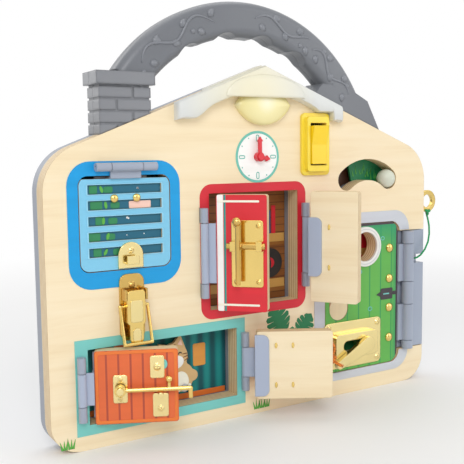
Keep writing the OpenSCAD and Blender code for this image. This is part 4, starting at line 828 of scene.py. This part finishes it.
def hood():
    """Swelling over the upper half of the lens, like an eyelid."""
    half, rise, foot, swell, cols, rows = 36.0, 16.5, 249.6, 3.6, 48, 12
    back, front = -7.9, -8.05
    verts, faces = [], []
    for i in range(cols + 1):
        x = half * (2 * i / cols - 1)
        s = math.sqrt(max(0.004, 1 - (x / half) ** 2))
        top, y = foot + 0.8 + rise * s, front - swell * s
        edge = min(1.0, swell * s)
        verts += [(x, back, foot), (x, y + edge, foot), (x, y + 0.3 * edge, foot + 0.3 * edge)]
        for t in (j / rows for j in range(rows + 1)):
            verts.append((x, front - swell * s * math.sqrt(1 - t * t), foot + edge + (top - foot - edge) * t))
        verts.append((x, back, top))
    skin(faces, 0, cols + 1, rows + 5)
    mesh_piece("canopy_hood", verts, faces, "canopy_white", "board", "white_plastic", sharp=50)


def lens_ring(inset, count=24):
    """Outline of the lens drawn in by inset: a lower arc and an upper arc."""
    ra, rb, d = LENS_R - inset, ARCH_CUT - 0.3 - inset, LENS_C - ARCH_C
    z = ARCH_C + (rb * rb - ra * ra + d * d) / (2 * d)
    low = math.degrees(math.acos(max(-1, min(1, (LENS_C - z) / ra))))
    high = math.degrees(math.acos(max(-1, min(1, (z - ARCH_C) / rb))))
    return arc(0, LENS_C, ra, -90 - low, -90 + low, count)[:-1] + arc(0, ARCH_C, rb, 90 - high, 90 + high, count)[:-1]


def lamp():
    verts, faces = [], []
    steps = ((0, 0), (0, -3.4), (0.5, -4.6), (1.4, -5.5), (3.0, -6.3), (5.5, -7.0), (8.5, -7.5), (11.5, -7.8))
    for inset, y in steps:
        verts += [(x, y, z) for x, z in lens_ring(inset)]
    skin(faces, 0, len(steps), len(verts) // len(steps))
    ob = mesh_piece("lamp_dome", verts, faces, "lamp_lens_glow", "board", "lamp_plastic", sharp=50)
    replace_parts(ob, "lamp_lens")


canopy()
hood()
lamp()

# ---------- domes, key and the handle's reliefs
ARCH_X, ARCH_Z, ARCH_R, GRIP = -13.0, 193.0, 129.0, 27.0
Y_FRONT, Y_BACK, ROUND = 0.5, 22.5, 7.0


def on_arch(rho, deg, back=False):
    """Point and outward direction on the handle: distance from the arch's centre, angle from straight up."""
    a = math.radians(deg)
    k = max(0.0, 1 - min(rho - (ARCH_R - GRIP), ARCH_R - rho) / ROUND)
    flat = math.sqrt(max(0.0, 1 - k * k))
    drop = ROUND * (1 - flat)
    radial = Vector((math.sin(a), 0, math.cos(a)))
    y = Y_BACK - drop if back else Y_FRONT + drop
    point = Vector((ARCH_X + rho * math.sin(a), y, ARCH_Z + rho * math.cos(a)))
    return point, radial * (k if rho > ARCH_R - GRIP / 2 else -k) + Vector(Y if back else FRONT) * flat


def rivet(verts, faces, c, n, r, h, rings=4, seg=16):
    """A low dome at point c, standing along n."""
    nrm = Vector(n).normalized()
    side = nrm.cross(Vector((0.3, 0.2, 1))).normalized()
    other = nrm.cross(side)
    base = len(verts)
    for i in range(rings):
        t = math.pi / 2 * i / rings
        for k in range(seg):
            a = 2 * math.pi * k / seg
            out = (side * math.cos(a) + other * math.sin(a)) * r * math.cos(t)
            verts.append(Vector(c) + out + nrm * (h * math.sin(t) - (0.3 if i == 0 else 0)))
    skin(faces, base, rings, seg, last_cap=False)
    last, top = base + (rings - 1) * seg, len(verts)
    verts.append(Vector(c) + nrm * h)
    faces += [(last + k, last + (k + 1) % seg, top) for k in range(seg)]


def nail_heads(name, node, body, spots, r):
    """Smooth domes on a painted face, in place of a node's plain heads."""
    verts, faces = [], []
    for x, z in spots:
        rivet(verts, faces, (x, 0, z), FRONT, r, 0.6 * r, 8, 32)
    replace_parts(mesh_piece(name, verts, faces, "brass", body, "brass"), node)


rivet_verts, rivet_faces = [], []
for deg, rho in ((-38, 120), (-24, 113), (14, 121), (27, 111), (38, 121), (47, 112), (55, 120), (-50, 112)):
    for back in (False, True):
        rivet(rivet_verts, rivet_faces, *on_arch(rho, deg, back), 1.9, 1.1)
mesh_piece("handle_rivets", rivet_verts, rivet_faces, "handle_relief", "board", "grey_plastic")
nail_heads("front_door_nails", "front_door_screws", "entrance_door", [(134, z) for z in (123, 96, 70, 43)], 4.0)
nail_heads("shutter_nails", "shutter_screws", "window_shutter", [(WINDOW_X + s * 8.5, 177) for s in (-1, 1)], 3.0)

# Key: ring, collar, shank and bit in one outline
BOW_X, KEY_Z, BOW_R = 185.0, 162.0, 10.0
key_top, key_low = (math.degrees(math.asin(h / BOW_R)) for h in (4.4, 4.0))
key_shape = arc(BOW_X, KEY_Z, BOW_R, 180 - key_top, key_low - 180, 48) + [
    (175.4, 158), (175.4, 162), (156, 162), (156, 156.5), (153.4, 156.5), (153.4, 159.2), (150.6, 159.2),
    (150.6, 156.5), (147, 156.5), (147, 166.4)]
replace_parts(print_on("door_key_brass", "brass", (5.2, 8.2), (key_shape, disc(BOW_X, KEY_Z, 6)), body="key",
                     slot="brass"), "door_key")


def vine(name, start, end, mid, swing, waves, back=False, n=46):
    """A raised stem that winds along the handle's face."""
    steps = [i / n for i in range(n + 1)]
    pts = [on_arch(mid + swing * math.sin(waves * 2 * math.pi * t), start + (end - start) * t, back)[0] for t in steps]
    radii = [0.25 + 0.85 * math.sin(math.pi * max(0.02, t)) ** 0.5 for t in steps[:-1]] + [0.25]
    tube(name, pts, radii, "handle_relief", "board", "grey_plastic", n=8)


def leaf_on(verts, faces, rho, deg, size, turn, back=False):
    """A raised leaf with a crease, lying on the handle's face."""
    half = [(0.34, 0.22), (0.42, 0.5), (0.26, 0.82)]
    outline = [(0.0, 0.0)] + half + [(0.0, 1.06)] + [(-x, z) for x, z in half[::-1]]
    base, n = len(verts), len(outline)

    def place(x, z, lift):
        (u, v), = turned([(x * size, z * size)], 0, 0, turn)
        inside = max(ARCH_R - GRIP + 0.4, min(ARCH_R - 0.4, rho + v))
        point, normal = on_arch(inside, deg + math.degrees(u / rho), back)
        return point + normal * lift

    verts += [place(x, z, -0.4) for x, z in outline] + [place(x * 0.92, z, 0.45) for x, z in outline]
    verts.append(place(0.0, 0.5, 0.95))
    skin(faces, base, 2, n, last_cap=False)
    faces += [(base + n + i, base + n + (i + 1) % n, base + 2 * n) for i in range(n)]


for name, *winding in (
        ("left", -48, -14, 117.5, 5.0, 1.6), ("top", 4, 30, 117, 4.0, 1.2), ("right", 33, 58, 115, 4.5, 1.4),
        ("back", -44, -8, 116, 5.0, 1.8, True), ("back_right", 10, 50, 116, 5.0, 1.8, True)):
    vine("handle_vine_" + name, *winding)
LEAF_ROW, LEAF_OUT, LEAF_SIZE = 116, 3.2, 7.2
leaf_verts, leaf_faces = [], []
seed(21)
for a0, a1, count, back in (
        (-46, -16, 6, False), (6, 29, 5, False), (35, 56, 5, False), (-42, -10, 6, True), (12, 48, 7, True)):
    for i in range(count):
        turn = (58 if i % 2 else 122) * (1 if back else -1) + uniform(-12, 12)
        rho, deg = LEAF_ROW + (LEAF_OUT if i % 2 else -LEAF_OUT), a0 + (a1 - a0) * i / (count - 1)
        leaf_on(leaf_verts, leaf_faces, rho, deg, LEAF_SIZE, turn, back)
mesh_piece("handle_leaves", leaf_verts, leaf_faces, "handle_relief", "board", "grey_plastic")


# ---------- floor, light
FADE_START, FADE_END, FLOOR_HALF = 0.35, 1.1, 6


def studio_floor():
    """White floor that keeps shadows near the object and fades into the white background."""
    g = Graph("studio_floor", 0.65)
    g.color(g.ramp(g.noise(2, 2), (0.3, (242, 242, 242)), (0.7, (246, 246, 246))))
    dist = g.node("VectorMath", {0: g.pos}, "Value", operation="LENGTH")
    far = g.node("MapRange", {"Value": dist, "From Min": FADE_START, "From Max": FADE_END},
                 clamp=True, interpolation_type="SMOOTHSTEP")
    seen = g.node("LightPath", {}, "Is Camera Ray")
    seen = g.math("MAXIMUM", seen, seen.node.outputs["Is Glossy Ray"])
    glow = g.node("Emission", {"Color": (255, 255, 255)})
    mixed = g.node("MixShader", {0: g.times(far, seen), 1: g.bsdf.outputs[0], 2: glow})
    g.put(g.tree.nodes["Material Output"].inputs[0], mixed)


def stage_plane(name, corners, mat):
    me = bpy.data.meshes.new(name)
    me.from_pydata(corners, [], [(0, 1, 2, 3)])
    me.materials.append(MATS[mat])
    ob = new_object(name, me)
    return ob


studio_floor()
stage_plane("floor", [(x, y, 0) for x, y in rect(-FLOOR_HALF, -FLOOR_HALF, FLOOR_HALF, FLOOR_HALF)], "studio_floor")
# Dark cards that only reflections see, which give the brass its contrast
for name, x0, x1, y, z0, z1 in (
        ("flag_left", -1.9, -1.25, -1.5, 0.05, 1.3), ("flag_middle", -0.05, 0.3, -2.2, 0.1, 1.2),
        ("flag_right", 1.5, 2.1, -1.2, 0.05, 1.3)):
    card = stage_plane(name, [(x, y, z) for x, z in rect(x0, z0, x1, z1)], "flag_grey")
    card.visible_camera = card.visible_diffuse = card.visible_shadow = False

# The world lights the object plainly and is white where the camera, gloss or glass sees it
world = bpy.context.scene.world = bpy.data.worlds.new("studio")
world.use_nodes = True
nodes, links = world.node_tree.nodes, world.node_tree.links
AMBIENT, WHITE = 0.55, 1.0
rays = nodes.new("ShaderNodeLightPath")
seen = rays.outputs["Is Camera Ray"]
for kind in ("Is Glossy Ray", "Is Transmission Ray"):
    either = nodes.new("ShaderNodeMath")
    either.operation = "MAXIMUM"
    links.new(seen, either.inputs[0])
    links.new(rays.outputs[kind], either.inputs[1])
    seen = either.outputs[0]
pick = nodes.new("ShaderNodeMixShader")
links.new(seen, pick.inputs[0])
for i, sky, strength in ((1, nodes["Background"], AMBIENT), (2, nodes.new("ShaderNodeBackground"), WHITE)):
    sky.inputs[0].default_value = (1, 1, 1, 1)
    sky.inputs[1].default_value = strength
    links.new(sky.outputs[0], pick.inputs[i])
links.new(pick.outputs[0], nodes["World Output"].inputs[0])

LIT_POINT = Vector((0, 0, 0.15))
for name, pos, size, power in (
        ("key_light", (-0.75, -1.25, 1.1), 0.8, 11.2), ("fill_light", (1.1, -1.0, 0.7), 1.0, 3.6),
        ("top_light", (0.1, 0.3, 1.4), 1.0, 4), ("back_light", (-0.6, 1.2, 0.8), 1.0, 3)):
    data = bpy.data.lights.new(name, "AREA")
    data.shape, data.size, data.energy = "SQUARE", size, power
    light = new_object(name, data)
    light.location = pos
    light.rotation_euler = (LIT_POINT - Vector(pos)).to_track_quat("-Z", "Y").to_euler()
bpy.context.scene.view_settings.view_transform = "Standard"
